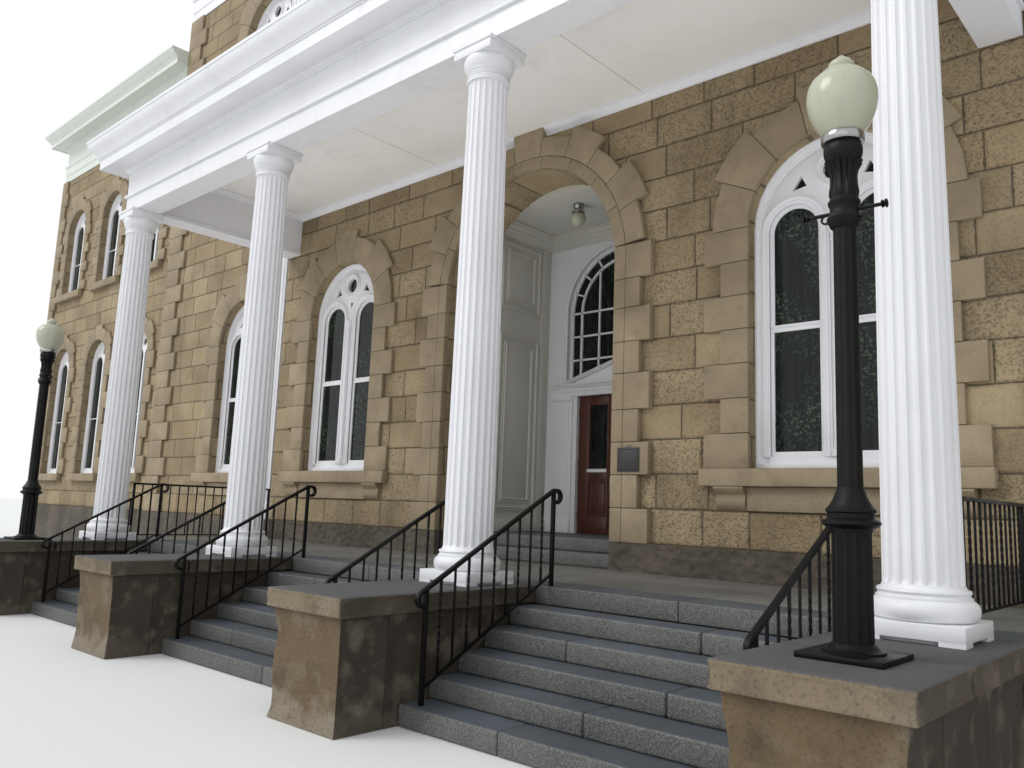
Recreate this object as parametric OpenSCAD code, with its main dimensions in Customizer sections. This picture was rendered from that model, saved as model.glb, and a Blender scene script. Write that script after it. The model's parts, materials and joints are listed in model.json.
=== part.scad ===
// Two-storey stone town hall: columned entrance porch, centre block and two wings.
// Units: millimetres. X runs along the front, Y runs into the building, Z is up.
// Heights are measured from the pavement at the foot of the front steps.

/* [Porch] */
// Distance between column centres
column_pitch = 3810; // [3000:10:4500]
// Column height from the porch floor to the beam soffit
column_h = 5030; // [4200:10:6000]
// Shaft radius at the foot
shaft_r_foot = 222; // [160:1:300]
// Shaft radius at the neck
shaft_r_neck = 190; // [140:1:280]
// Number of channels round a shaft
flutes = 20; // [12:1:28]
// Depth of a channel
flute_depth = 19; // [6:1:26]
// Side of the square column plinth
plinth_w = 590; // [460:5:760]
// Height of the square column plinth
plinth_h = 110; // [60:5:200]
// Height of the turned base on the plinth
base_h = 190; // [150:5:260]
// Side of the square slab on top of a column
abacus_w = 510; // [440:5:700]
// Height of the capital with its slab
cap_h = 300; // [240:5:420]
// Width of the beams that the columns carry
beam_w = 354; // [280:2:480]
// Height of the beams from their soffit to the ceiling
beam_h = 730; // [500:10:1000]
// Height of the plain lower band of the beams
fascia_h = 240; // [150:5:320]
// How far the narrow band over it stands out
taenia_out = 34; // [15:1:60]
// Colonnade centre line to the face of the entrance wall
porch_depth = 2770; // [2200:10:3600]
// How far the cornice stands out past the beam face
cornice_out = 512; // [300:2:700]
// How far the flat front of the cornice stands out
corona_out = 336; // [200:2:420]
// Height of the cornice
cornice_h = 400; // [250:10:600]
// Height of the low parapet on the porch roof
parapet_h = 480; // [300:10:900]
// Thickness of the porch ceiling boards
ceiling_t = 60; // [30:5:120]

/* [Front steps] */
// Height of one front step
riser = 160; // [130:1:190]
// Depth of one front tread
going = 295; // [260:1:380]
// Number of front risers
risers = 6; // [3:1:9]
// Top nosing behind the colonnade centre line
nosing_y = 406; // [360:2:700]
// Width of a stair pier below its cap
pier_w = 850; // [700:10:1100]
// Overhang of the pier cap
cap_over = 52; // [20:2:100]
// Thickness of the pier cap
cap_t = 145; // [90:5:240]
// Colonnade centre line to the front face of the piers
pier_front = 1640; // [1400:10:2200]

/* [Railings] */
// Height of the handrail over the nosings
rail_h = 850; // [700:10:1000]
// Side of a square railing post
post_w = 32; // [20:1:50]
// Thickness of a baluster
baluster_w = 16; // [10:1:24]
// Distance between balusters
baluster_gap = 140; // [90:5:200]
// Pier face to railing centre line
rail_in = 100; // [60:5:200]

/* [Lamps] */
// Height of a lamp post with its globe
lamp_h = 3140; // [2400:10:4000]
// Colonnade centre line to the lamp centre
lamp_y = 1095; // [700:5:1300]
// Radius of the lamp globe
globe_r = 178; // [120:2:240]

/* [Walls] */
// Thickness of the stone walls
wall_t = 650; // [450:10:900]
// Half width of the wall that carries the porch
pavilion_half = 5892; // [5600:10:6400]
// Step back from the entrance wall to the outer bays
bay_back = 390; // [200:10:800]
// Half width of the centre block
block_half = 11600; // [10400:50:13000]
// Depth of the centre block behind the outer bay face
block_depth = 17000; // [12000:100:26000]
// Height of the wall head under the main entablature
wall_head = 13020; // [12700:10:14500]
// Height of the main entablature
main_ent_h = 1780; // [1200:10:2200]
// How far the main cornice stands out
main_out = 620; // [400:10:800]
// Rise of the main roof
roof_rise = 3000; // [1800:50:5000]
// How far the base course stands out
base_out = 90; // [40:5:200]
// Thickness of the inner floors
floor_t = 250; // [150:10:400]
// Top of the upper floor of the centre block
upper_floor_z = 7850; // [7300:10:8400]

// Width of a tall pilaster
tall_w = 580; // [400:10:800]
// Groove between the entrance wall and a tall pilaster
groove_w = 60; // [20:5:120]

/* [Windows] */
// Centre of a window beside the entrance
win_x = 4103; // [3900:1:4300]
// Tall pilaster to the centre of a window in an outer bay
bay_win_in = 1438; // [1430:1:3000]
// Half width of a large window
win_half = 877; // [700:1:1000]
// Sill top of the lower windows above the porch floor
win_sill = 1156; // [900:2:1400]
// Springing of the lower windows above the porch floor
win_spring = 3770; // [3300:5:4000]
// Height between the lower and the upper window row
storey_h = 6740; // [6500:10:7400]
// Depth of the window frame behind the wall face
frame_back = 110; // [60:5:250]
// Thickness of a window frame
frame_t = 90; // [50:5:150]
// Face width of the side member of a window frame
frame_side = 152; // [90:1:220]
// Face width of the centre member of a window frame
frame_mid = 310; // [120:2:400]
// Thickness of the window glass
glass_t = 12; // [6:1:20]
// Distance between the side and back windows of the centre block
side_pitch = 4200; // [3600:50:5200]

// Height of a corner stone
course_h = 391; // [300:1:450]
// Width of a long corner stone
quoin_long = 790; // [650:10:1000]
// Width of a short corner stone
quoin_short = 580; // [400:10:640]
// How far the stone surrounds stand out
surround_out = 60; // [20:2:100]
// Width of a long surround stone beside a window
surround_long = 520; // [350:5:560]
// Width of a short surround stone beside a window
surround_short = 320; // [200:5:400]
// Number of jamb stones beside a window
jamb_stones = 7; // [5:2:11]
// Number of stones in a window head
head_stones = 7; // [3:4:11]
// Width of a short stone in a window head
head_short = 423; // [300:1:520]
// Width of a long stone in a window head
head_long = 543; // [430:1:640]
// Half width of a window sill
sill_half = 1425; // [1200:5:1600]
// Height of a window sill
sill_h = 186; // [100:2:300]
// How far a window sill stands out
sill_out = 130; // [60:5:250]
// Radius of the round eye in a window head
eye_r = 118; // [60:2:140]

/* [Entrance] */
// Half width of the entrance arch
arch_half = 1493; // [1300:1:1700]
// Springing of the entrance arch above the porch floor
arch_spring = 3710; // [3300:5:4200]
// Width of a short stone beside the arch
arch_short = 373; // [250:1:450]
// Number of stones beside the arch
arch_jamb_stones = 9; // [5:2:13]
// Outer radius of the short arch stones
arch_short_r = 1920; // [1800:5:1970]
// How far the arch stones stand out
arch_out = 95; // [50:1:130]
// Outer radius of the long arch stones
arch_stone_r = 2075; // [1980:5:2110]
// Number of stones in the arch
arch_stones = 11; // [7:4:15]
// Height of the two steps in the arch
door_steps = 320; // [240:2:380]
// Half width of the entrance recess
recess_half = 1400; // [1200:5:1480]
// Depth of the recess from the wall face to the door wall
recess_depth = 2130; // [1800:5:2600]
// Height of the recess ceiling above the porch floor
recess_h = 5080; // [4900:5:5400]
// Thickness of the panelled recess walls
panel_t = 90; // [50:5:120]
// Thickness of the door wall
door_wall_t = 150; // [100:5:250]
// Width of one door leaf
leaf_w = 752; // [650:1:850]
// Height of a door leaf
leaf_h = 2096; // [1950:2:2300]
// Thickness of a door leaf
leaf_t = 50; // [35:1:70]
// Gap round a door leaf
leaf_gap = 7; // [6:1:12]
// Radius of the fanlight opening
fan_r = 1000; // [800:5:1100]
// Foot of the fanlight above the porch floor
fan_foot = 2640; // [2600:10:2800]
// Springing of the fanlight above the porch floor
fan_spring = 3780; // [3500:10:3900]

/* [Wings] */
// Length of a wing along the front
wing_w = 7700; // [5000:50:8200]
// Depth of a wing
wing_depth = 11000; // [7000:100:16000]
// Step back from the outer bay face to the wing face
wing_back = 90; // [60:10:4000]
// Wall head of a wing
wing_head = 10820; // [10400:10:12000]
// Height of the entablature of a wing
wing_ent_h = 1440; // [900:10:1600]
// How far a wing's cornice stands out
wing_out = 560; // [350:10:700]
// Rise of a wing roof
wing_roof_rise = 640; // [400:10:700]
// Half width of a wing window
wing_win_half = 610; // [450:5:700]
// Width of a short stone beside a wing window
wing_short = 220; // [150:5:300]
// Width of a long stone beside a wing window
wing_long = 390; // [280:5:420]
// Width of a long corner stone of a wing
wing_quoin_long = 420; // [330:5:430]
// Width of a short corner stone of a wing
wing_quoin_short = 300; // [200:5:320]
// Half width of the sill of a wing window
wing_sill_half = 860; // [760:5:950]
// Distance between wing windows
wing_pitch = 2400; // [2000:50:3000]
// Sill of the upper wing windows
wing_sill2 = 7200; // [6900:10:7600]
// Springing of the upper wing windows
wing_spring2 = 9060; // [8700:10:9500]
// Top of the upper floor in a wing
wing_floor_z = 6250; // [5900:10:6800]
/* [Hidden] */
$fn = 64;

// seating gap between two solids that share a node
g = 0.3;
// reach of a cutter past the face that it cuts
e = 10;

// heights and places that follow from the driving sizes
porch_z = riser * risers;
col_x = [-1.5, -0.5, 0.5, 1.5] * column_pitch;
bay_x = [-1, 0, 1] * column_pitch;
flight_half = (column_pitch - pier_w) / 2;
beam_z = porch_z + column_h;
beam_half = 1.5 * column_pitch + beam_w / 2;
ceil_z = beam_z + beam_h;
cornice_top = ceil_z + cornice_h;
deck_t = 80;
ent_y = porch_depth;
ent_in = ent_y + wall_t;
bay_y = ent_y + bay_back;
bay_in = bay_y + wall_t;
back_y = bay_y + block_depth;
back_in = back_y - wall_t;
block_in = block_half - wall_t;
pav_in = pavilion_half + groove_w;
pav_out = pav_in + tall_w;
bay_win_x = pav_out + bay_win_in;
wing_y = bay_y + wing_back;
wing_in = wing_y + wall_t;
wing_back_y = wing_y + wing_depth;
wing_back_in = wing_back_y - wall_t;
wing_end = block_half + wing_w;
wing_end_in = wing_end - wall_t;
floor_z = porch_z + door_steps;
door_y = ent_y + recess_depth;
sill_z = porch_z + win_sill;
spring_z = porch_z + win_spring;
wing_spring = spring_z + win_half - wing_win_half;
arch_z = porch_z + arch_spring;
recess_z = porch_z + recess_h;
recess_out = recess_half + panel_t;
leaf_top = floor_z + leaf_gap + leaf_h;
door_top = leaf_top + leaf_gap;
door_half = leaf_w + leaf_gap * 1.5;
fan_z0 = porch_z + fan_foot;
fan_z1 = porch_z + fan_spring;
front_y = -pier_front - cap_over;
rear_y = back_y + main_out;
mid_y = (front_y + rear_y) / 2;
main_eave = wall_head + main_ent_h;
wing_eave = wing_head + wing_ent_h;
wing_win_x = [for (i = [-1, 0, 1]) block_half + wing_w / 2 + i * wing_pitch];
wing_end_win_y = [for (i = [-0.5, 0.5]) wing_y + wing_depth / 2 + i * wing_pitch * 1.8];
back_win_x = [-2, -1, 0, 1, 2] * side_pitch;
side_win_y = [(wing_back_y + back_y) / 2];
stone = [0.60, 0.52, 0.40];
stone_light = [0.66, 0.58, 0.46];
granite = [0.47, 0.50, 0.54];
paint = [0.91, 0.90, 0.90];
iron = [0.07, 0.07, 0.08];
glass = [0.10, 0.12, 0.12];
wood = [0.28, 0.13, 0.08];
slate = [0.35, 0.36, 0.38];
boards = [0.45, 0.38, 0.30];

// moves the model so that its origin is under the middle of its footprint
module place() translate([0, -mid_y, 0]) children();
module box(x0, x1, y0, y1, z0, z1) translate([x0, y0, z0]) cube([x1 - x0, y1 - y0, z1 - z0]);
// child on the right, and its mirror image on the left
module pair() for (s = [0, 1]) mirror([s, 0, 0]) children();
module pair2d() for (s = [0, 1]) mirror([s, 0]) children();
// upright outline in X and Z, extruded along +Y from y0
module wall_sheet(y0, t) translate([0, y0 + t, 0]) rotate([90, 0, 0]) linear_extrude(t) children();
// upright outline in Y and Z, extruded along +X from x0
module side_sheet(x0, t) translate([x0, 0, 0]) rotate([90, 0, 90]) linear_extrude(t) children();
// upper half circle as a chain of n straight lines, from right to left
function half_arc(r, zc, n) = [for (i = [0:n]) [r * cos(180 * i / n), zc + r * sin(180 * i / n)]];
// round-headed outline: half width, foot, springing and number of head lines
module arch2d(hw, z0, zs, n = 16) polygon(concat([[-hw, z0], [hw, z0]], half_arc(hw, zs, n)));
// S-shaped curve from a to b that starts and ends upright
function ogee(a, b, n = 6) = [for (i = [0:n])
    let (t = i / n)
    [a.x + (b.x - a.x) * (t - sin(360 * t) / (2 * PI)), a.y + (b.y - a.y) * t]];
// bulging quarter curve from a to b
function ovolo(a, b, n = 5) = [for (i = [0:n])
    let (t = 90 * i / n)
    [a.x + (b.x - a.x) * sin(t), a.y + (b.y - a.y) * (1 - cos(t))]];

// step to the right-hand side of a line in plan
function side_step(a, b) = let (d = (b - a) / norm(b - a)) [d.y, -d.x];
// step at a corner of a path that keeps a moulding's width
function corner_step(p, i, closed) =
    let (n = len(p),
         before = closed || i > 0 ? side_step(p[(i + n - 1) % n], p[i]) : side_step(p[0], p[1]),
         after = closed || i < n - 1 ? side_step(p[i], p[(i + 1) % n]) : before)
    (before + after) / (1 + before * after);
// runs an outline of outward steps and heights along a path in plan, mitred at the corners
module moulding(p, closed, inner, outer, z0, z1) for (i = [0:len(p) - (closed ? 1 : 2)]) {
    a = p[i];
    b = p[(i + 1) % len(p)];
    run = norm(b - a);
    reach = max(inner, outer);
    d = (b - a) / run;
    ma = corner_step(p, i, closed);
    mb = corner_step(p, (i + 1) % len(p), closed);
    intersection() {
        translate([0, 0, z0]) linear_extrude(z1 - z0) polygon([
            a + ma * outer + d * g / 2, b + mb * outer - d * g / 2,
            b - mb * inner - d * g / 2, a - ma * inner + d * g / 2]);
        translate([a.x, a.y, 0]) rotate([0, 0, atan2(d.y, d.x)])
            side_sheet(-reach, run + 2 * reach) mirror([1, 0]) children();
    }
}

// Porch base and steps
nose_r = 22;
module porch_base() color(stone) place() {
    for (x = col_x)
        box(x - pier_w / 2, x + pier_w / 2, -pier_front, nosing_y - g, 0, porch_z - cap_t);
    box(col_x[0] - pier_w / 2, col_x[3] + pier_w / 2, nosing_y, ent_y - base_out, 0, porch_z - cap_t);
}
module pier_caps() color(stone_light) place() for (x = col_x)
    box(x - pier_w / 2 - cap_over, x + pier_w / 2 + cap_over, front_y, nosing_y, porch_z - cap_t, porch_z);
// side outline of a slab with a rounded nosing: front, back, foot and top
module nosed2d(y0, y1, z0, z1) {
    translate([y0 + nose_r, z0]) square([y1 - y0 - nose_r, z1 - z0]);
    translate([y0, z0]) square([nose_r * 2, z1 - z0 - nose_r]);
    translate([y0 + nose_r, z1 - nose_r]) circle(nose_r);
}
module front_steps() color(granite) place() for (x = bay_x, i = [1:risers - 1]) {
    y = nosing_y - going * (risers - i);
    side_sheet(x - flight_half, 2 * flight_half) nosed2d(y, y + going - g, 0, i * riser);
}
module porch_floor() color(granite) place()
    side_sheet(col_x[0] - pier_w / 2 - cap_over, 3 * column_pitch + pier_w + 2 * cap_over)
        nosed2d(nosing_y, ent_y - base_out, porch_z - cap_t, porch_z);

// Columns
torus_h = base_h * 0.5;
bead_h = base_h * 0.22;
collar = 38;
// outline of a channelled shaft: radius, number of channels, their depth and k lines across each
function fluted(r, n, depth, k = 4) = [for (i = [0:n - 1], j = [0:k])
    let (a = 360 * (i + 0.1 + 0.8 * j / k) / n, q = r - depth * sin(180 * j / k))
    [q * cos(a), q * sin(a)]];
module at_columns(z) for (x = col_x) translate([x, 0, porch_z + z]) children();
module column_bases() color(paint) place() at_columns(0) {
    translate([-plinth_w / 2, -plinth_w / 2, 0]) cube([plinth_w, plinth_w, plinth_h]);
    translate([0, 0, plinth_h]) rotate_extrude() {
        square([plinth_w / 2 - torus_h / 2, torus_h]);
        translate([plinth_w / 2 - torus_h / 2, torus_h / 2]) circle(torus_h / 2, $fn = 24);
        square([shaft_r_foot + collar, torus_h + bead_h]);
        square([shaft_r_foot + collar / 2, base_h - bead_h / 2]);
        translate([shaft_r_foot + collar / 2, base_h - bead_h * 0.9]) circle(bead_h / 2, $fn = 24);
        square([shaft_r_foot, base_h]);
    }
}
module column_shafts() color(paint) place() at_columns(plinth_h + base_h)
    linear_extrude(column_h - plinth_h - base_h - cap_h, scale = shaft_r_neck / shaft_r_foot)
        polygon(fluted(shaft_r_foot, flutes, flute_depth));
// ringed neck, bell and square slab, by height above the shaft
neck_bead = 22;
slab_h = cap_h * 0.4;
bell_r = abacus_w / 2 - 10;
bell_z = (cap_h - slab_h) * 0.68;
module column_capitals() color(paint) place() at_columns(column_h - cap_h) {
    rotate_extrude() {
        square([shaft_r_neck, cap_h - slab_h]);
        for (z = [neck_bead, neck_bead * 2.2])
            translate([shaft_r_neck + neck_bead / 4, z]) circle(neck_bead / 2, $fn = 24);
        for (i = [0:2])
            translate([0, bell_z - neck_bead * (3 - i)])
                square([shaft_r_neck + neck_bead * (1 + i) / 4, neck_bead * 0.8]);
        polygon(concat([[0, bell_z]], ovolo([shaft_r_neck + neck_bead, bell_z], [bell_r, cap_h - slab_h]),
            [[0, cap_h - slab_h]]));
    }
    translate([-bell_r, -bell_r, cap_h - slab_h]) cube([2 * bell_r, 2 * bell_r, slab_h]);
    translate([-abacus_w / 2, -abacus_w / 2, cap_h - slab_h * 0.3])
        cube([abacus_w, abacus_w, slab_h * 0.3]);
}

// Porch entablature
porch_path = [[-beam_half, ent_y], [-beam_half, -beam_w / 2], [beam_half, -beam_w / 2], [beam_half, ent_y]];
taenia_h = 60;
taenia_z = beam_z + fascia_h;
bed_h = 60;
bed_out = 52;
corona_h = 132;
lip = 38;
frieze_z = ceil_z - 100;
crown_z = frieze_z + bed_h;
module porch_beams() color(paint) place()
    moulding(porch_path, false, beam_w, bed_out, beam_z, crown_z)
        polygon(concat([[-beam_w, beam_z], [0, beam_z], [0, taenia_z], [taenia_out, taenia_z],
            [taenia_out, taenia_z + taenia_h * 0.6], [0, taenia_z + taenia_h], [0, frieze_z]],
            ovolo([0, frieze_z], [bed_out, crown_z]), [[-beam_w, crown_z]]));
// crown of an entablature: inner edge, flat front, outermost edge, foot, top of the flat front and top
module crown2d(inner, flat_out, out, z0, z_flat, z1) polygon(concat(
    [[-inner, z0], [flat_out, z0], [flat_out, z_flat], [flat_out + lip / 2, z_flat]],
    ogee([flat_out + lip / 2, z_flat + lip / 2], [out - lip / 3, z1 - lip]),
    [[out, z1 - lip], [out, z1], [-inner, z1]]));
module porch_cornice() color(paint) place()
    moulding(porch_path, false, beam_w, cornice_out, crown_z, cornice_top)
        crown2d(beam_w, corona_out, cornice_out, crown_z, crown_z + corona_h, cornice_top);
module porch_ceiling() color(paint) place()
    box(-beam_half + beam_w, beam_half - beam_w, beam_w / 2, ent_y, ceil_z, ceil_z + ceiling_t);
module porch_roof() color(slate) place()
    box(-beam_half, beam_half, -beam_w / 2, ent_y, cornice_top, cornice_top + deck_t);
module porch_parapet() color(paint) place() {
    z = cornice_top + deck_t;
    moulding(porch_path, false, beam_w, e, z, z + parapet_h)
        translate([-beam_w, z]) square([beam_w, parapet_h]);
}

// Lamps
post_foot = 425;
post_foot_h = 30;
post_r = 62;
sleeve_h = 640;
sleeve_r = 95;
arm_z = 2262;
arm_half = 225;
knob_r = 20;
cup_z = 2630;
neck_r = 100;
cup_r = 98;
shade_h = lamp_h - cup_z;
globe_z = 248;
module at_lamps(z) for (s = [-1, 1]) translate([s * 1.5 * column_pitch, -lamp_y, porch_z + z]) children();
module lamp_posts() color(iron) place() at_lamps(0) {
    translate([-post_foot / 2, -post_foot / 2, 0]) cube([post_foot, post_foot, post_foot_h]);
    translate([0, 0, post_foot_h]) cylinder(r1 = sleeve_r * 1.5, r2 = sleeve_r * 1.1, h = post_foot_h);
    translate([0, 0, 2 * post_foot_h]) linear_extrude(sleeve_h - 2 * post_foot_h)
        polygon(fluted(sleeve_r, 12, sleeve_r / 12));
    translate([0, 0, sleeve_h]) rotate_extrude() {
        square([sleeve_r * 1.2, 90]);
        translate([sleeve_r * 1.25, 16]) circle(20, $fn = 24);
        translate([sleeve_r * 1.1, 72]) circle(14, $fn = 24);
        polygon(concat([[0, 80]], ogee([sleeve_r * 1.1, 80], [post_r, 180]), [[0, 180]]));
    }
    translate([0, 0, sleeve_h + 180]) cylinder(r = post_r, h = arm_z - 90 - sleeve_h - 180);
    translate([0, 0, arm_z]) rotate_extrude() polygon(concat([[0, -90]],
        ogee([post_r, -90], [post_r * 1.4, -45]),
        [[post_r * 1.15, -25], [post_r * 1.15, 60]], ogee([post_r * 1.15, 60], [cup_r, cup_z - arm_z - 20]),
        [[cup_r * 0.9, cup_z - arm_z], [0, cup_z - arm_z]]));
    translate([-arm_half, 0, arm_z]) rotate([0, 90, 0]) rotate_extrude() {
        square([knob_r / 2, 2 * arm_half]);
        for (z = [0, 2 * arm_half - knob_r * 1.5]) translate([0, z]) square([knob_r, knob_r * 1.5]);
    }
}
module lamp_globes() color([0.83, 0.83, 0.70]) place() {
    at_lamps(cup_z) rotate_extrude() intersection() {
        square([globe_r + e, shade_h]);
        union() {
            square([neck_r + 10, 58]);
            intersection() {
                translate([0, globe_z]) circle(globe_r);
                square([globe_r, globe_z + globe_r * 0.8]);
            }
            square([globe_r * 0.62, globe_z + globe_r * 0.86]);
            square([globe_r * 0.33, shade_h - globe_r * 0.2]);
            translate([0, shade_h - globe_r * 0.36]) circle(globe_r * 0.36, $fn = 24);
        }
    }
    translate([0, ent_in + 400, recess_z - 190]) {
        sphere(r = 110, $fn = 24);
        cylinder(r = 40, h = 190, $fn = 24);
    }
}

// Railings
rail_w = 44;
rail_t = 28;
low_bar = 18;
scroll_r = 56;
// half ring that ends a handrail: centre, and the way it faces
module scroll2d(y, z, turn) translate([y, z]) rotate(turn) difference() {
    intersection() {
        circle(scroll_r + rail_t / 2);
        translate([-rail_t / 3, -2 * scroll_r]) square([3 * scroll_r, 4 * scroll_r]);
    }
    circle(scroll_r - rail_t / 2);
}
module baluster(x, y, z0, z1)
    translate([x - baluster_w / 2, y - baluster_w / 2, z0]) cube([baluster_w, baluster_w, z1 - z0]);
// sloping rail beside a flight, in its own upright plane
module flight_rail(x) {
    y_top = nosing_y + 68;
    y_low = nosing_y - going * (risers - 1.3);
    slope = riser / going;
    lean = atan(slope);
    drop = (y_top - y_low) * slope;
    y_end = y_low - 60;
    n = floor((y_top - y_low) / baluster_gap);
    z_top = porch_z + rail_h - rail_t;
    z_end = z_top - (y_top - y_end) * slope;
    box(x - post_w / 2, x + post_w / 2, y_top - post_w / 2, y_top + post_w / 2, porch_z, z_top + e);
    box(x - post_w / 2, x + post_w / 2, y_low - post_w / 2, y_low + post_w / 2, riser, z_top + e - drop);
    side_sheet(x - rail_w / 2, rail_w) {
        polygon([[y_end, z_end], [y_top, z_top], [y_top + 45, z_top], [y_top + 45, z_top + rail_t],
            [y_top, z_top + rail_t], [y_end, z_end + rail_t]]);
        scroll2d(y_top + 45, z_top + rail_t / 2 - scroll_r, 0);
        scroll2d(y_end + scroll_r * sin(lean), z_end + rail_t / 2 - scroll_r * cos(lean), 180 + lean);
    }
    side_sheet(x - low_bar / 2, low_bar) polygon([[y_low, porch_z + 95 - drop], [y_top, porch_z + 95],
        [y_top, porch_z + 95 + low_bar], [y_low, porch_z + 95 + low_bar - drop]]);
    for (i = [1:n - 1]) {
        y = y_top - i * (y_top - y_low) / n;
        z = porch_z + 105 - (y_top - y) * slope;
        baluster(x, y, z, z + rail_h - 125);
    }
}
module stair_railings() color(iron) place() for (b = bay_x, s = [-1, 1])
    flight_rail(b + s * (flight_half - cap_over - rail_in));
module guard_rails() color(iron) place() pair() {
    x = 1.5 * column_pitch;
    y0 = plinth_w / 2 + 10;
    y1 = ent_y - base_out - 40;
    n = floor((y1 - y0) / baluster_gap);
    box(x - rail_w / 2, x + rail_w / 2, y0, y1, porch_z + rail_h - rail_t, porch_z + rail_h);
    box(x - low_bar / 2, x + low_bar / 2, y0, y1, porch_z + 55, porch_z + 55 + low_bar);
    for (y = [y0, y1 - post_w])
        box(x - post_w / 2, x + post_w / 2, y, y + post_w, porch_z, porch_z + rail_h - e);
    for (i = [1:n - 1]) {
        y = y0 + i * (y1 - y0) / n;
        baluster(x, y, porch_z + 65, porch_z + rail_h - 20);
    }
}

// Base course: straight runs of rough stone under the walls
module base_course() color(stone) place() {
    box(-arch_half, arch_half, ent_y - base_out, ent_in, 0, porch_z);
    pair() {
        box(arch_half + g, pav_out + base_out, ent_y - base_out, bay_y - base_out - g, 0, floor_z);
        box(arch_half + g, pavilion_half - g, bay_y - base_out, ent_in, 0, floor_z);
        box(pavilion_half, block_half + base_out, bay_y - base_out, bay_in, 0, floor_z);
        box(block_in, block_half, bay_in + g, wing_back_y + base_out, 0, floor_z);
        box(block_in, block_half + base_out, wing_back_y + base_out + g, back_in - g, 0, floor_z);
        box(block_half + base_out + g, wing_end + base_out, wing_y - base_out, wing_in, 0, floor_z);
        box(block_half + g, wing_end + base_out, wing_back_in, wing_back_y + base_out, 0, floor_z);
        box(wing_end_in, wing_end + base_out, wing_in + g, wing_back_in - g, 0, floor_z);
    }
    box(-block_half - base_out, block_half + base_out, back_in, back_y + base_out, 0, floor_z);
}

// Walls
module win_hole(x, k) translate([x, k * storey_h]) arch2d(win_half, sill_z, spring_z);
module entrance_walls() color(stone) place() pair() wall_sheet(ent_y, wall_t) difference() {
    polygon([[arch_half, floor_z], [pavilion_half, floor_z], [pavilion_half, ceil_z],
        [arch_stone_r + g, ceil_z], [arch_stone_r + g, arch_z - g], [arch_half, arch_z - g]]);
    win_hole(win_x, 0);
}
module entrance_arch_wall() color(stone) place() wall_sheet(ent_y, wall_t)
    polygon(concat([[arch_stone_r, arch_z], [arch_stone_r, ceil_z],
            [-arch_stone_r, ceil_z], [-arch_stone_r, arch_z]],
        [for (i = [24:-1:0]) half_arc(arch_half, arch_z, 24)[i]]));
module entrance_wall_upper() color(stone) place() wall_sheet(ent_y, wall_t) difference() {
    translate([-pavilion_half, ceil_z]) square([2 * pavilion_half, wall_head - ceil_z]);
    for (x = [-win_x, 0, win_x]) win_hole(x, 1);
}
module outer_bay_walls() color(stone) place() pair() wall_sheet(bay_y, wall_t) difference() {
    translate([pavilion_half, floor_z]) square([block_half - pavilion_half, wall_head - floor_z]);
    for (k = [0, 1]) win_hole(bay_win_x, k);
}
module side_walls() color(stone) place() pair() side_sheet(block_in, wall_t) difference() {
    translate([bay_in, floor_z]) square([back_in - bay_in, wall_head - floor_z]);
    for (y = side_win_y, k = [0, 1]) win_hole(y, k);
}
module back_wall() color(stone) place() wall_sheet(back_in, wall_t) difference() {
    translate([-block_half, floor_z]) square([2 * block_half, wall_head - floor_z]);
    for (x = back_win_x, k = [0, 1]) win_hole(x, k);
}
// tall channelled pilasters between the entrance wall and the outer bays
channels = 5;
channel_fillet = 18;
channel_depth = 34;
channel_w = tall_w / channels - 2 * channel_fillet;
channel_r = (channel_w * channel_w / 4 + channel_depth * channel_depth) / (2 * channel_depth);
foot_h = 300;
foot_out = 50;
head_h = 360;
module pilaster_block(out, z0, z1) box(pav_in - out / 2, pav_out + out, ent_y - out, bay_y, z0, z1);
module tall_pilasters() color(paint) place() pair() {
    translate([0, 0, floor_z]) linear_extrude(wall_head - floor_z) difference() {
        translate([pav_in, ent_y]) square([tall_w, bay_y - ent_y]);
        for (i = [0:channels - 1])
            translate([pav_in + (i + 0.5) * tall_w / channels, ent_y + channel_depth - channel_r])
                circle(channel_r);
    }
    pilaster_block(foot_out, floor_z, floor_z + foot_h * 0.75);
    pilaster_block(foot_out / 2, floor_z, floor_z + foot_h);
    pilaster_block(0, wall_head - head_h, wall_head);
    pilaster_block(foot_out / 2, wall_head - head_h / 4, wall_head);
}

// Entablatures and roofs
// shares of the height at which the bands of a large entablature change
band_1 = 0.135;
band_2 = 0.30;
band_3 = 0.36;
frieze_top = 0.64;
crown_foot = 0.735;
corona_top = 0.84;
// how far the lower band, the upper band, its moulding, the frieze and the bed moulding stand out
band_out = [20, 34, 80, 10, 120];
// plain bands, frieze and bed moulding under the crown: inner edge, foot and full height
module bands2d(inner, z, h) polygon(concat(
    [[-inner, z], [band_out[0], z], [band_out[0], z + h * band_1], [band_out[1], z + h * band_1]],
    ovolo([band_out[1], z + h * band_2], [band_out[2], z + h * band_3]),
    [[band_out[3], z + h * band_3]],
    ovolo([band_out[3], z + h * frieze_top], [band_out[4], z + h * crown_foot]),
    [[-inner, z + h * crown_foot]]));
// two solids round a building: bands below, crown above
module entablature(path, closed, out, z, h) {
    moulding(path, closed, wall_t, band_out[4], z, z + h) bands2d(wall_t, z, h);
    moulding(path, closed, wall_t, out, z, z + h)
        crown2d(wall_t, out * 0.72, out, z + h * crown_foot + g, z + h * corona_top, z + h);
}
module main_entablature() color(paint) place() entablature(
    [[-block_half, back_y], [-block_half, bay_y], [-pav_out, bay_y], [-pav_out, ent_y],
     [pav_out, ent_y], [pav_out, bay_y], [block_half, bay_y], [block_half, back_y]],
    true, main_out, wall_head, main_ent_h);
module wing_entablatures() color(paint) place() pair() entablature(
    [[block_half, wing_y], [wing_end, wing_y], [wing_end, wing_back_y], [block_half, wing_back_y]],
    false, wing_out, wing_head, wing_ent_h);
// roof slab between an outer and an inner outline of four points each
module slab(o, i) polyhedron(points = concat(o, i),
    faces = [[3, 2, 1, 0], [4, 5, 6, 7], [0, 1, 5, 4], [1, 2, 6, 5], [2, 3, 7, 6], [3, 0, 4, 7]]);
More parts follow.
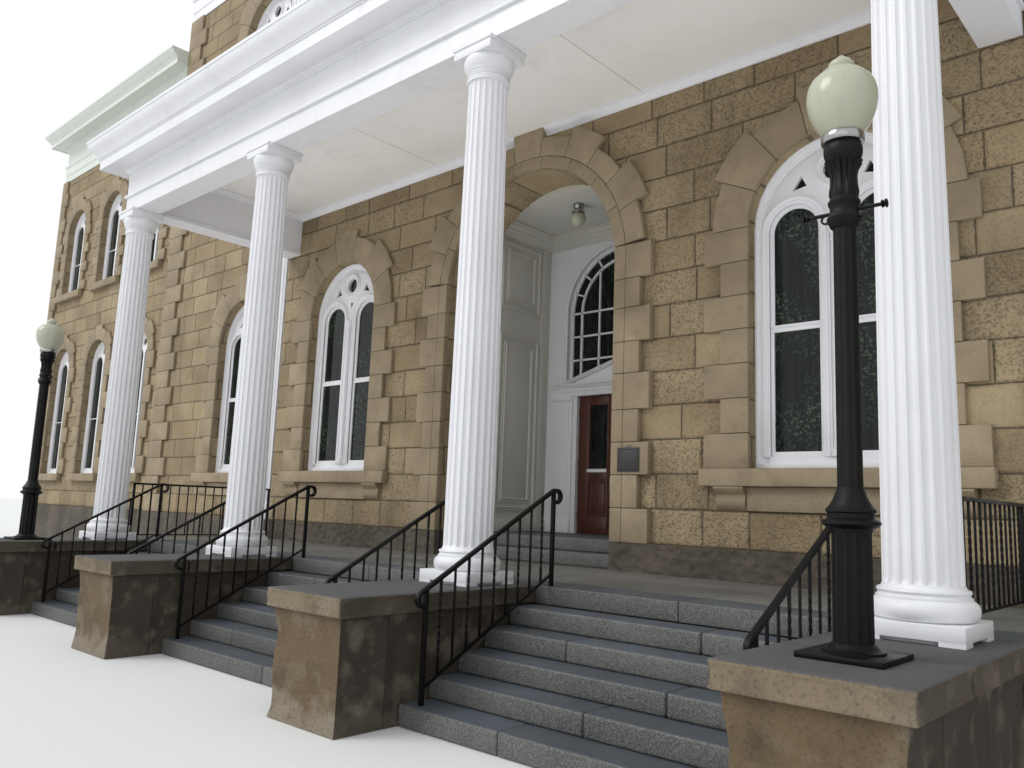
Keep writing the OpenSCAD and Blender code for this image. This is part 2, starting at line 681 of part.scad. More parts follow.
// three-cornered roof slab at a hipped end
module hip(o, i) polyhedron(points = concat(o, i),
    faces = [[2, 1, 0], [3, 4, 5], [0, 1, 4, 3], [1, 2, 5, 4], [2, 0, 3, 5]]);
roof_t = 600;
main_eave_in = 300;
wing_eave_in = 200;
module main_roof() color(slate) place() {
    x0 = block_half + main_eave_in;
    y0 = bay_y - main_eave_in;
    y1 = back_y + main_eave_in;
    h = (y1 - y0) / 2;
    zt = main_eave + roof_rise;
    zi = zt - roof_t * roof_rise / h;
    for (f = [0, 1]) translate([0, f * 2 * (y0 + h), 0]) mirror([0, f, 0]) translate([0, -g, 0])
        slab([[-x0, y0, main_eave], [x0, y0, main_eave], [x0 - h, y0 + h, zt], [h - x0, y0 + h, zt]],
             [[roof_t - x0, y0 + roof_t, main_eave], [x0 - roof_t, y0 + roof_t, main_eave],
              [x0 - h, y0 + h, zi], [h - x0, y0 + h, zi]]);
    pair() translate([g, 0, 0])
        hip([[x0, y0, main_eave], [x0, y1, main_eave], [x0 - h, y0 + h, zt]],
            [[x0 - roof_t, y0 + roof_t, main_eave], [x0 - roof_t, y1 - roof_t, main_eave],
             [x0 - h, y0 + h, zi]]);
}
module wing_roofs() color(slate) place() pair() {
    x1 = wing_end + wing_eave_in;
    y0 = wing_y - wing_eave_in;
    y1 = wing_back_y + wing_eave_in;
    h = (y1 - y0) / 2;
    zt = wing_eave + wing_roof_rise;
    zi = zt - roof_t * wing_roof_rise / h;
    for (f = [0, 1]) translate([0, f * 2 * (y0 + h), 0]) mirror([0, f, 0]) translate([0, -g, 0])
        slab([[block_half, y0, wing_eave], [x1, y0, wing_eave],
              [x1 - h, y0 + h, zt], [block_half, y0 + h, zt]],
             [[block_half, y0 + roof_t, wing_eave], [x1 - roof_t, y0 + roof_t, wing_eave],
              [x1 - h, y0 + h, zi], [block_half, y0 + h, zi]]);
    translate([g, 0, 0])
        hip([[x1, y0, wing_eave], [x1, y1, wing_eave], [x1 - h, y0 + h, zt]],
            [[x1 - roof_t, y0 + roof_t, wing_eave], [x1 - roof_t, y1 - roof_t, wing_eave],
             [x1 - h, y0 + h, zi]]);
}

// Floors
module block_floor2d() {
    translate([-block_in, bay_in]) square([2 * block_in, back_in - bay_in]);
    translate([-pavilion_half, ent_in]) square([2 * pavilion_half, wall_t]);
}
module ground_floor() color(boards) place() {
    translate([0, 0, floor_z - floor_t]) linear_extrude(floor_t) difference() {
        block_floor2d();
        translate([-recess_out, ent_in - e]) square([2 * recess_out, door_y - ent_in + e]);
    }
    pair() box(block_half, wing_end_in, wing_in, wing_back_in, floor_z - floor_t, floor_z);
}
module upper_floor() color(boards) place() {
    translate([0, 0, upper_floor_z - floor_t]) linear_extrude(floor_t) block_floor2d();
    pair() box(block_half, wing_end_in, wing_in, wing_back_in, wing_floor_z - floor_t, wing_floor_z);
}

// Wings
wing_sills = [sill_z, wing_sill2];
wing_springs = [wing_spring, wing_spring2];
module wing_holes() for (k = [0, 1]) arch2d(wing_win_half, wing_sills[k], wing_springs[k], 10);
module wing_walls() color(stone) place() pair() {
    for (y = [wing_y, wing_back_in]) wall_sheet(y, wall_t) difference() {
        translate([block_half, floor_z]) square([wing_w, wing_head - floor_z]);
        for (x = wing_win_x) translate([x, 0]) wing_holes();
    }
    side_sheet(wing_end_in, wall_t) difference() {
        translate([wing_in + g, floor_z]) square([wing_back_in - wing_in - 2 * g, wing_head - floor_z]);
        for (y = wing_end_win_y) translate([y, 0]) wing_holes();
    }
}

// Windows
light_half = (win_half - frame_side - frame_mid / 2) / 2;
light_x = frame_mid / 2 + light_half;
light_foot = sill_z + 124;
rail_up = 1450;
rail_z = sill_z + rail_up;
rail_high = 80;
eye_z = spring_z + 515;
board_t = frame_t / 2;
bar_w = 24;
glass_in = 35;
mullion_r = 40;
mullion_cap_r = 63;
mullion_h = spring_z - 130 - light_foot;
wing_light = wing_win_half * 0.385;
wing_light_x = wing_light + 37;
// children stand in the plane of every large front window of row k
module each_front_window(k) {
    for (x = k == 0 ? [-win_x, win_x] : [-win_x, 0, win_x])
        translate([x, ent_y, k * storey_h]) children();
    for (s = [-1, 1]) translate([s * bay_win_x, bay_y, k * storey_h]) children();
}
// the same for all sides, turned so that each child faces outward
module each_window(k) {
    each_front_window(k) children();
    for (x = back_win_x) translate([x, back_y, k * storey_h]) rotate([0, 0, 180]) children();
    for (y = side_win_y, s = [-1, 1])
        translate([s * block_half, y, k * storey_h]) rotate([0, 0, s * 90]) children();
}
module each_wing_window() pair() {
    for (x = wing_win_x) translate([x, wing_y, 0]) children();
    for (x = wing_win_x) translate([x, wing_back_y, 0]) rotate([0, 0, 180]) children();
    for (y = wing_end_win_y) translate([wing_end, y, 0]) rotate([0, 0, 90]) children();
}
// two arched lights under a round eye, with a slim column between them
module large_frame() {
    wall_sheet(frame_back, frame_t - board_t) difference() {
        arch2d(win_half - g, sill_z, spring_z);
        arch2d(win_half - frame_side * 0.6, sill_z + 60, spring_z);
    }
    wall_sheet(frame_back + frame_t - board_t, board_t) difference() {
        arch2d(win_half - g, sill_z, spring_z);
        pair2d() translate([light_x, 0]) {
            translate([-light_half, light_foot]) square([2 * light_half, rail_z - light_foot]);
            arch2d(light_half, rail_z + rail_high, spring_z - 70, 12);
        }
        translate([0, eye_z]) circle(eye_r);
    }
    translate([0, frame_back + frame_t - board_t - 20, light_foot]) {
        cylinder(r = mullion_r * 1.4, h = mullion_r * 2);
        cylinder(r = mullion_r, h = mullion_h);
        translate([0, 0, mullion_h - 100]) cylinder(r1 = mullion_r, r2 = mullion_cap_r, h = 100);
        translate([0, 0, mullion_h]) cylinder(r = mullion_cap_r, h = 30);
    }
}
// two narrow lights under a small eye: sill and springing
module small_frame(z0, zs) {
    wall_sheet(frame_back, frame_t - board_t) difference() {
        arch2d(wing_win_half - g, z0, zs, 10);
        arch2d(wing_win_half - frame_side * 0.5, z0 + 50, zs, 10);
    }
    wall_sheet(frame_back + frame_t - board_t, board_t) difference() {
        arch2d(wing_win_half - g, z0, zs, 10);
        pair2d() translate([wing_light_x, 0]) difference() {
            arch2d(wing_light, z0 + 100, zs - 30, 8);
            translate([-wing_light, (z0 + zs) / 2]) square([2 * wing_light, bar_w]);
        }
        translate([0, zs + wing_win_half * 0.54]) circle(eye_r * 0.72);
    }
}
module frame_row(k) {
    each_window(k) large_frame();
    each_wing_window() small_frame(wing_sills[k], wing_springs[k]);
}
module glass_row(k) {
    each_window(k) wall_sheet(frame_back + frame_t, glass_t)
        arch2d(win_half - glass_in, sill_z + glass_in, spring_z, 8);
    each_wing_window() wall_sheet(frame_back + frame_t, glass_t)
        arch2d(wing_win_half - glass_in, wing_sills[k] + glass_in, wing_springs[k], 6);
}
module window_frames_lower() color(paint) place() frame_row(0);
module window_frames_upper() color(paint) place() frame_row(1);
module window_glass_lower() color(glass) place() {
    glass_row(0);
    wall_sheet(fan_y + fan_t, glass_t) arch2d(fan_r - 20, fan_z0 + 20, fan_z1, 12);
}
module window_glass_upper() color(glass) place() glass_row(1);

// Stone trim
// toothed ring round an opening: half width, foot and springing of the opening, widths of the
// short and long stones beside it, their number, the number over it and the outer radii there
module surround2d(hw, z0, zs, short, long, n, heads, r_short, r_long) {
    step = (zs - z0) / n;
    polygon(concat(
        [for (i = [0:n - 1], k = [0, 1]) [hw + (i % 2 == 0 ? long : short), z0 + (i + k) * step]],
        [for (i = [0:heads - 1], k = [0, 0.5, 1])
            let (r = i % 2 == 0 ? r_short : r_long, a = 180 * (i + k) / heads)
            [r * cos(a), zs + r * sin(a)]],
        [for (i = [n - 1:-1:0], k = [1, 0]) [-hw - (i % 2 == 0 ? long : short), z0 + (i + k) * step]],
        [[-hw, z0]], [for (i = [16:-1:0]) half_arc(hw, zs, 16)[i]], [[hw, z0]]));
}
module large_surround() wall_sheet(-surround_out, surround_out)
    surround2d(win_half, sill_z, spring_z, surround_short, surround_long, jamb_stones, head_stones,
        win_half + head_short, win_half + head_long);
module wing_surround(z0, zs) wall_sheet(-surround_out, surround_out)
    surround2d(wing_win_half, z0, zs, wing_short, wing_long, jamb_stones, head_stones,
        wing_win_half + wing_short * 1.4, wing_win_half + wing_long);
// toothed strip of corner stones: wall head, straight edge, ends of the first and second stone
module teeth2d(head, edge, first, second) {
    n = round((head - floor_z) / course_h);
    h = (head - floor_z) / n;
    polygon(concat([[edge, floor_z]],
        [for (i = [0:n - 1], k = [0, 1]) [i % 2 == 0 ? first : second, floor_z + (i + k) * h]],
        [[edge, head]]));
}
// strip on a face that looks forward, to the left of a corner
module front_teeth(head, long, short) wall_sheet(-surround_out, surround_out)
    mirror([1, 0]) teeth2d(head, 0, long, short);
// both strips of a corner that looks forward and right
module corner_stack(head, long, short) {
    translate([-g, 0, 0]) front_teeth(head, long, short);
    side_sheet(0, surround_out) teeth2d(head, -surround_out, short, long);
}
module stone_surrounds() color(stone_light) place() {
    for (k = [0, 1]) {
        each_front_window(k) large_surround();
        pair() for (x = wing_win_x)
            translate([x, wing_y, 0]) wing_surround(wing_sills[k], wing_springs[k]);
    }
    wall_sheet(ent_y - arch_out, arch_out) intersection() {
        surround2d(arch_half, floor_z, arch_z, arch_short, surround_long, arch_jamb_stones, arch_stones,
            arch_short_r, arch_stone_r);
        translate([-arch_stone_r - e, 0]) square([2 * arch_stone_r + 2 * e, ceil_z - g]);
    }
    pair() {
        translate([block_half, bay_y, 0]) front_teeth(wall_head, quoin_long, quoin_short);
        translate([block_half, back_y, 0]) rotate([0, 0, 90])
            corner_stack(wall_head, quoin_long, quoin_short);
        translate([wing_end, wing_y, 0]) corner_stack(wing_head, wing_quoin_long, wing_quoin_short);
        translate([wing_end, wing_back_y, 0]) rotate([0, 0, 90])
            corner_stack(wing_head, wing_quoin_long, wing_quoin_short);
    }
}
// sill under a window, in the window's own plane, and the ogee brackets that carry a large one
bracket_h = 250;
bracket_w = 340;
bracket_in = 340;
module sill(hw, z) wall_sheet(-sill_out, sill_out)
    translate([-hw, z - sill_h]) square([2 * hw, sill_h - g]);
module bracket(x) {
    z1 = sill_z - sill_h - g;
    out = sill_out * 0.9;
    side_sheet(x - bracket_w / 2, bracket_w) polygon(concat([[0, z1 - bracket_h]],
        ogee([-out / 4, z1 - bracket_h], [-out, z1 - bracket_h / 5]),
        [[-out, z1], [0, z1]]));
}
module window_sills() color(stone_light) place() {
    for (k = [0, 1]) {
        each_window(k) sill(sill_half, sill_z);
        each_wing_window() sill(wing_sill_half, wing_sills[k]);
        each_front_window(k) for (s = [-1, 1]) bracket(s * (sill_half - bracket_in));
    }
}

// Entrance
step_1 = 80;
step_2 = 370;
// flat slab with a rounded nosing, across the arch
module doorway_step(y0, y1, z) side_sheet(-arch_half, 2 * arch_half) nosed2d(y0, y1, porch_z, z);
module doorway_steps() color(granite) place() {
    doorway_step(ent_y + step_1, ent_y + step_2 - g, porch_z + door_steps / 2);
    doorway_step(ent_y + step_2, ent_in - g, floor_z);
    box(-recess_out, recess_out, ent_in, door_y, porch_z, floor_z);
}
lining_top = 60;
panel_edge = 280;
panel_gap = 130;
panel_sink = 18;
panel_foot = 300;
panel_down = [1740, 1380, 260];
panel_z = concat([floor_z + panel_foot], [for (down = panel_down) recess_z - down]);
crown_out = 200;
crown_h = 220;
// sunk frame round a raised field on a side wall of the recess, from foot z0 to z1
module panel(z0, z1) difference() {
    box(recess_half - e, recess_half + panel_sink, ent_in + panel_edge, door_y - panel_edge, z0, z1);
    box(recess_half - e, recess_half + panel_sink, ent_in + panel_edge + panel_gap,
        door_y - panel_edge - panel_gap, z0 + panel_gap, z1 - panel_gap);
}
module recess_lining() color(paint) place() {
    pair() difference() {
        box(recess_half, recess_out, ent_in, door_y, floor_z, recess_z);
        panel(panel_z[0], panel_z[1]);
        panel(panel_z[2], panel_z[3]);
    }
    box(-recess_out, recess_out, ent_in, door_y, recess_z + g, recess_z + lining_top);
    moulding([[-recess_half, ent_in], [-recess_half, door_y], [recess_half, door_y], [recess_half, ent_in]],
        false, 0, crown_out, recess_z - crown_h, recess_z)
        polygon(concat([[g, recess_z - crown_h]],
            ogee([lip, recess_z - crown_h], [crown_out - lip, recess_z - lip]),
            [[crown_out, recess_z - lip], [crown_out, recess_z], [g, recess_z]]));
}
module door_wall() color(paint) place() {
    pair() box(door_half, recess_out, door_y, door_y + door_wall_t, floor_z, door_top - g);
    wall_sheet(door_y, door_wall_t) difference() {
        translate([-recess_out, door_top]) square([2 * recess_out, recess_z + lining_top - door_top]);
        arch2d(fan_r, fan_z0, fan_z1, 16);
    }
}
casing_half = 1240;
casing_out = 66;
beam_out = 110;
beam_top = door_top + 200;
gable_half = 1100;
gable_rise = 430;
gable_rim = 100;
// low gable with its edges moved in by a rim
module gable2d(rim) {
    side = rim * (1 + gable_half / gable_rise);
    polygon([[side - gable_half, beam_top + rim + g], [gable_half - side, beam_top + rim + g],
        [0, beam_top + gable_rise - rim]]);
}
module door_casing() color(paint) place() {
    pair() {
        box(door_half, casing_half, door_y - casing_out * 0.8, door_y, floor_z, door_top - g);
        box(door_half + 140, casing_half - 60, door_y - casing_out, door_y, floor_z, door_top - g);
        box(door_half + 90, casing_half + 10, door_y - casing_out - 9, door_y, floor_z, floor_z + 220);
    }
    side_sheet(-casing_half, 2 * casing_half) polygon(concat(
        [[door_y, door_top], [door_y - casing_out, door_top], [door_y - casing_out, door_top + 125]],
        ogee([door_y - casing_out, door_top + 125], [door_y - beam_out, beam_top - 30]),
        [[door_y - beam_out, beam_top], [door_y, beam_top]]));
    wall_sheet(door_y - casing_out, casing_out) difference() {
        gable2d(0);
        gable2d(gable_rim);
    }
    wall_sheet(door_y - casing_out / 2, casing_out / 2) gable2d(gable_rim + g * 3);
}
fan_y = door_y + 40;
fan_t = 50;
fan_edge = 55;
fan_ring = fan_r * 0.78;
module fanlight_frame() color(paint) place() wall_sheet(fan_y, fan_t) {
    difference() {
        arch2d(fan_r - g, fan_z0, fan_z1, 16);
        arch2d(fan_r - fan_edge, fan_z0 + fan_edge, fan_z1, 16);
    }
    difference() {
        arch2d(fan_ring + bar_w * 0.7, fan_z0 + bar_w, fan_z1, 16);
        arch2d(fan_ring - bar_w * 0.7, fan_z0, fan_z1, 16);
    }
    intersection() {
        arch2d(fan_ring, fan_z0, fan_z1, 16);
        for (i = [-1.5, -0.5, 0.5, 1.5])
            translate([i * fan_r * 0.29 - bar_w / 2, fan_z0]) square([bar_w, fan_r * 3]);
    }
    for (i = [0:2]) translate([-fan_r + fan_edge / 2, fan_z1 - i * (fan_z1 - fan_z0) / 3 - bar_w / 2])
        square([2 * fan_r - fan_edge, bar_w]);
    for (i = [1:8]) translate([0, fan_z1]) rotate(20 * i) translate([fan_ring, -bar_w / 2])
        square([fan_r - fan_edge / 2 - fan_ring, bar_w]);
}
leaf_x0 = leaf_gap / 2;
leaf_x1 = leaf_x0 + leaf_w;
leaf_y = door_y + 30;
leaf_z = floor_z + leaf_gap;
stile = 200;
glass_z0 = floor_z + 980;
glass_z1 = leaf_top - 130;
panel_z0 = leaf_z + 250;
panel_z1 = glass_z0 - 180;
leaf_sink = 14;
field_in = 50;
hinge_h = 120;
module leaf() {
    difference() {
        box(leaf_x0, leaf_x1, leaf_y, leaf_y + leaf_t, leaf_z, leaf_top);
        box(leaf_x0 + stile, leaf_x1 - stile, leaf_y - e, leaf_y + leaf_t + e, glass_z0, glass_z1);
        box(leaf_x0 + stile, leaf_x1 - stile, leaf_y - e, leaf_y + leaf_sink, panel_z0, panel_z1);
    }
    box(leaf_x0 + stile + field_in, leaf_x1 - stile - field_in, leaf_y + leaf_sink / 3, leaf_y + leaf_t / 2,
        panel_z0 + field_in, panel_z1 - field_in);
    // hinge knuckles on the turning axis
    for (z = [leaf_z + 250, leaf_z + leaf_h / 2, leaf_top - 250])
        translate([leaf_x1, leaf_y, z - hinge_h / 2]) cylinder(r = leaf_gap - g, h = hinge_h, $fn = 24);
}
module leaf_glass() box(leaf_x0 + stile, leaf_x1 - stile,
    leaf_y + leaf_t / 2 - 5, leaf_y + leaf_t / 2 + 5, glass_z0, glass_z1);
module door_leaf_left() color(wood) place() mirror([1, 0, 0]) leaf();
module door_leaf_right() color(wood) place() leaf();
module door_glass_left() color(glass) place() mirror([1, 0, 0]) leaf_glass();
module door_glass_right() color(glass) place() leaf_glass();

porch_base();
pier_caps();
front_steps();
porch_floor();
column_bases();
column_shafts();
column_capitals();
porch_beams();
porch_cornice();
porch_ceiling();
porch_roof();
porch_parapet();
lamp_posts();
lamp_globes();
stair_railings();
guard_rails();
base_course();
entrance_walls();
entrance_arch_wall();
entrance_wall_upper();
outer_bay_walls();
side_walls();
back_wall();
tall_pilasters();
main_entablature();
main_roof();
ground_floor();
upper_floor();
wing_walls();
wing_entablatures();
wing_roofs();
stone_surrounds();
window_sills();
window_frames_lower();
window_frames_upper();
window_glass_lower();
window_glass_upper();
doorway_steps();
recess_lining();
door_wall();
door_casing();
fanlight_frame();
door_leaf_left();
door_leaf_right();
door_glass_left();
door_glass_right();
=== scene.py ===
"""Dresses the town hall: stone, paint, iron and glass, with its carved and moulded pieces."""

import json
import logging
import math
from dataclasses import dataclass, field
from enum import Enum
from typing import Callable, Sequence

import bpy
from mathutils import Matrix, Vector

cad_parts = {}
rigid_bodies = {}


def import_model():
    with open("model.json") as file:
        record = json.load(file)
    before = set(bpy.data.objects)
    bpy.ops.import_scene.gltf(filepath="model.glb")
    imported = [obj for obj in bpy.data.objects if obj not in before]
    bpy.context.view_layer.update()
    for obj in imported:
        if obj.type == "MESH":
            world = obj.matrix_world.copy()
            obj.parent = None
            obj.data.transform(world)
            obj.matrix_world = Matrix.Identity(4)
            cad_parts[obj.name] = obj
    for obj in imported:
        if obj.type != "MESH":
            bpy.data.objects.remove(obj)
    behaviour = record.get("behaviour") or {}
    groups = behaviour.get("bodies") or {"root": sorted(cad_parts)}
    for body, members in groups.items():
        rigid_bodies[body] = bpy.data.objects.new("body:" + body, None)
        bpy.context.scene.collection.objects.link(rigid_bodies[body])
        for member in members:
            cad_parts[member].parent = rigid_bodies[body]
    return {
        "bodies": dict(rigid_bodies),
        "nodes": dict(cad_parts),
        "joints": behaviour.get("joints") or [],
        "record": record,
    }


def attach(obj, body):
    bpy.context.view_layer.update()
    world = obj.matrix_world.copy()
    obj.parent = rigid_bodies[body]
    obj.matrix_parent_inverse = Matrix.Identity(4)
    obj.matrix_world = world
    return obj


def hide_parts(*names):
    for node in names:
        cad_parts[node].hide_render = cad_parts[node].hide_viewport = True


LOG = logging.getLogger("town_hall")
Point = tuple[float, float, float]
Flat = tuple[float, float]
Colour = tuple[float, float, float]
Outline = Sequence[Flat]
Piece = bpy.types.Object
Material = bpy.types.Material
Socket = bpy.types.NodeSocket

PHOTO_SIZE = (1024, 768)
GROUND_DROP = 0.96
MIDDLE_Y = 9.544
THROUGH = (0.0, 0.4)


class Side(Enum):
    """The left or right half of the front."""

    LEFT = -1
    RIGHT = 1


class Plane(Enum):
    """The plane that a flat outline is drawn in."""

    FRONT = "XZ"
    SIDE = "YZ"
    PLAN = "XY"


class Tree:
    """A material's node tree, with short calls to add and join nodes."""

    def __init__(self, name: str) -> None:
        """Makes an empty material of that name.

        Args:
            name: The material's name.
        """
        self.material = bpy.data.materials.new(name)
        self.material.use_nodes = True
        self.nodes = self.material.node_tree.nodes
        self.links = self.material.node_tree.links
        self.nodes.clear()
        self.output = self.nodes.new("ShaderNodeOutputMaterial")
        self.shader = self.nodes.new("ShaderNodeBsdfPrincipled")
        self.links.new(self.shader.outputs[0], self.output.inputs[0])

    def put(self, socket: Socket, value: object) -> None:
        """Joins a socket to the given output, or sets it to the given value.

        Args:
            socket: The socket to fill.
            value: The value, or the socket that gives it.
        """
        if isinstance(value, Socket):
            self.links.new(value, socket)
        elif isinstance(value, (tuple, list)) and len(value) == 3 and socket.type == "RGBA":
            socket.default_value = (*value, 1.0)
        else:
            socket.default_value = value

    def node(self, kind: str, inputs: dict, out: object = 0, **settings: object) -> Socket:
        """Adds a node, sets it up and joins its inputs.

        Args:
            kind: The node's type, without the words that all types start with.
            inputs: A value or another node's output for each input, by number or name.
            out: The output that is wanted, by number or name.
            settings: The node's own settings by name.

        Returns:
            The output.
        """
        node = self.nodes.new("ShaderNode" + kind)
        for name, value in settings.items():
            setattr(node, name, value)
        for key, value in inputs.items():
            self.put(node.inputs[key], value)
        return node.outputs[out]

    def math(self, kind: str, a: object, b: object = 0.0) -> Socket:
        """Returns the result of a sum on two values."""
        return self.node("Math", {0: a, 1: b}, operation=kind)

    def mix(self, factor: object, a: object, b: object) -> Socket:
        """Returns a blend of two colours, by the share of the second one."""
        return self.node("Mix", {0: factor, 6: a, 7: b}, 2, data_type="RGBA")

    def place(self) -> Socket:
        """Returns the point on the piece in metres."""
        return self.node("TexCoord", {}, "Object")

    def noise(self, scale: float, detail: float = 3.0, point: object = None) -> Socket:
        """Returns a noise value at a point, or at the piece's own one."""
        point = self.place() if point is None else point
        return self.node("TexNoise", {"Vector": point, "Scale": scale, "Detail": detail})

    def cells(self, scale: float, out: str, feature: str = "F1") -> Socket:
        """Returns an output of a cell texture."""
        return self.node("TexVoronoi", {"Vector": self.place(), "Scale": scale}, out, feature=feature)

    def row_cells(self, run: object, out: str, feature: str) -> Socket:
        """Returns an output of a cell texture that divides one row into uneven lengths."""
        inputs = {"W": run, "Scale": 1.0, "Randomness": 0.8}
        return self.node("TexVoronoi", inputs, out, voronoi_dimensions="1D", feature=feature)

    def island(self) -> Socket:
        """Returns a value that differs from one joined stone to the next."""
        return self.node("NewGeometry", {}, "Random Per Island")

    def ramp(self, value: object, low: float, high: float, a: float = 0.0, b: float = 1.0) -> Socket:
        """Returns the value mapped from low..high to a..b, clamped."""
        return self.node("MapRange", dict(enumerate((value, low, high, a, b))))

    def split(self, vector: object) -> tuple[Socket, ...]:
        """Returns the three parts of a vector."""
        return tuple(self.node("SeparateXYZ", {0: vector}).node.outputs)

    def join(self, x: object, y: object, z: object) -> Socket:
        """Returns a vector of three values."""
        return self.node("CombineXYZ", {0: x, 1: y, 2: z})

    def stretched(self, across: float, up: float) -> Socket:
        """Returns the point on the piece with its sides and its height scaled."""
        x, y, z = self.split(self.place())
        return self.join(*(self.math("MULTIPLY", a, b) for a, b in ((x, across), (y, across), (z, up))))

    def normal(self) -> tuple[Socket, ...]:
        """Returns the three parts of the surface normal."""
        return self.split(self.node("NewGeometry", {}, "Normal"))

    def wall_place(self) -> Socket:
        """Returns a point that runs along a wall and up it, whichever way the wall faces.

        Returns:
            The point.
        """
        x, y, z = self.split(self.place())
        nx, _, _ = self.normal()
        sideways = self.math("GREATER_THAN", self.math("ABSOLUTE", nx), 0.6)
        along = self.math("ADD", self.math("MULTIPLY", y, sideways),
                          self.math("MULTIPLY", x, self.math("SUBTRACT", 1.0, sideways)))
        return self.join(along, z, 0.0)

    def bump(self, height: object, distance: float, strength: float = 1.0, after: object = None) -> Socket:
        """Returns a bumped normal, on top of another one if given."""
        below = {} if after is None else {"Normal": after}
        return self.node("Bump", {"Strength": strength, "Distance": distance, "Height": height, **below})

    def surface(self, colour: object, roughness: object, normal: object = None,
                **others: object) -> Material:
        """Sets the shader's sockets and returns the material.

        Args:
            colour: The colour.
            roughness: The roughness.
            normal: The bumped normal.
            others: Other sockets by name, with underscores for spaces.

        Returns:
            The material.
        """
        self.put(self.shader.inputs["Base Color"], colour)
        self.put(self.shader.inputs["Roughness"], roughness)
        if normal is not None:
            self.put(self.shader.inputs["Normal"], normal)
        for name, value in others.items():
            self.put(self.shader.inputs[name.replace("_", " ")], value)
        return self.material


@dataclass(frozen=True)
class Ashlar:
    """Sandstone in courses of uneven blocks, some pecked and some rubbed, with tight joints."""

    name: str = "pecked_sandstone"
    pale: Colour = (0.43, 0.34, 0.205)
    dark: Colour = (0.20, 0.148, 0.082)
    warm: Colour = (0.29, 0.205, 0.110)
    soot: Colour = (0.085, 0.064, 0.040)
    course: float = 0.391
    length: float = 0.84
    joint: float = 0.009
    worn_edge: float = 0.030
    shift: float = 17.37
    first_course: float = 1.28

    def blocks(self, t: Tree, along: object, up: object) -> tuple[Socket, ...]:
        """Finds the block that a point lies on.

        Args:
            t: The material's tree.
            along: The place along the wall.
            up: The height on the wall.

        Returns:
            Three random values of the block, and how far its nearest joint is.
        """
        level = t.math("DIVIDE", t.math("SUBTRACT", up, self.first_course), self.course)
        part = t.math("FRACT", level)
        bed = t.math("MULTIPLY", t.math("MINIMUM", part, t.math("SUBTRACT", 1.0, part)), self.course)
        row = t.math("FLOOR", level)
        run = t.math("ADD", t.math("DIVIDE", along, self.length), t.math("MULTIPLY", row, self.shift))
        end = t.math("MULTIPLY", t.row_cells(run, "Distance", "DISTANCE_TO_EDGE"), self.length)
        return (*t.split(t.row_cells(run, "Color", "F1")), t.math("MINIMUM", bed, end))

    def build(self) -> Material:
        """Returns the finished material.

        Returns:
            The material.
        """
        t = Tree(self.name)
        along, up, _ = t.split(t.wall_place())
        tone, hue, dressing, near = self.blocks(t, along, up)
        near = t.math("ADD", near, t.math("MULTIPLY", t.math("SUBTRACT", t.noise(9.0, 3.0), 0.5),
                                          self.joint * 1.4))
        joint = t.ramp(near, self.joint * 0.4, self.joint, 1.0, 0.0)
        shade = t.math("ADD", t.math("MULTIPLY", tone, 0.42), t.ramp(t.noise(1.3, 5.0), 0.3, 0.7, 0.0, 0.6))
        colour = t.mix(t.ramp(shade, 0.0, 1.0), self.dark, self.pale)
        colour = t.mix(t.ramp(hue, 0.5, 1.0, 0.0, 0.45), colour, self.warm)
        pecked = t.ramp(dressing, 0.2, 0.5, 0.35, 1.0)
        pits = t.ramp(t.cells(30.0, "Distance"), 0.18, 0.42)
        grain = t.noise(42.0, 4.0)
        specks = t.math("MULTIPLY", t.ramp(grain, 0.5, 0.64), pecked)
        colour = t.mix(t.math("MULTIPLY", specks, 0.55), colour, self.soot)
        streak = t.noise(1.0, 4.0, t.join(t.math("MULTIPLY", along, 2.4), t.math("MULTIPLY", up, 0.4), 0.0))
        colour = t.mix(t.ramp(streak, 0.55, 0.8, 0.0, 0.5), colour, self.soot)
        colour = t.mix(t.ramp(near, 0.0, self.worn_edge, 0.18, 0.0), colour, self.soot)
        colour = t.mix(t.math("MULTIPLY", joint, 0.65), colour, self.soot)
        rough = t.bump(t.math("MULTIPLY", pits, pecked), 0.012, 0.8)
        rough = t.bump(grain, 0.007, 0.7, rough)
        rough = t.bump(t.ramp(near, 0.0, self.worn_edge), 0.012, 0.8, rough)
        return t.surface(colour, 0.9, t.bump(t.math("SUBTRACT", 1.0, joint), 0.008, 1.0, rough))


@dataclass(frozen=True)
class Stone:
    """Plain stone: dressed blocks, rough base stones or granite treads."""

    name: str
    pale: Colour
    dark: Colour
    patch: float = 1.6
    grain: float = 60.0
    relief: float = 0.002
    pit: float = 40.0
    pit_depth: float = 0.0
    speckle: float = 0.0
    differ: float = 0.0
    roughness: float = 0.8

    def build(self) -> Material:
        """Returns the finished material.

        Returns:
            The material.
        """
        t = Tree(self.name)
        soot = tuple(c * 0.5 for c in self.dark)
        grain = t.noise(self.grain, 3.0)
        colour = t.mix(t.ramp(t.noise(self.patch, 5.0), 0.3, 0.7), self.dark, self.pale)
        colour = t.mix(t.ramp(grain, 0.45, 0.7, 0.0, 0.35), colour, soot)
        colour = t.mix(t.ramp(t.noise(self.patch * 3.3, 4.0), 0.55, 0.75, 0.0, 0.4), colour, soot)
        if self.differ:
            colour = t.mix(t.math("MULTIPLY", t.island(), self.differ), colour, self.dark)
        if self.speckle:
            light, _, _ = t.split(t.cells(150.0, "Color"))
            bright = tuple(min(1.0, c * 1.9) for c in self.pale)
            colour = t.mix(t.ramp(light, 0.62, 0.8, 0.0, self.speckle), colour, bright)
            colour = t.mix(t.ramp(light, 0.0, 0.25, self.speckle, 0.0), colour,
                           tuple(c * 0.3 for c in self.dark))
        bumped = t.bump(grain, self.relief, 0.8)
        if self.pit_depth:
            pits = t.cells(self.pit, "Distance", "SMOOTH_F1")
            bumped = t.bump(pits, self.pit_depth, 1.0, bumped)
        return t.surface(colour, self.roughness, bumped)


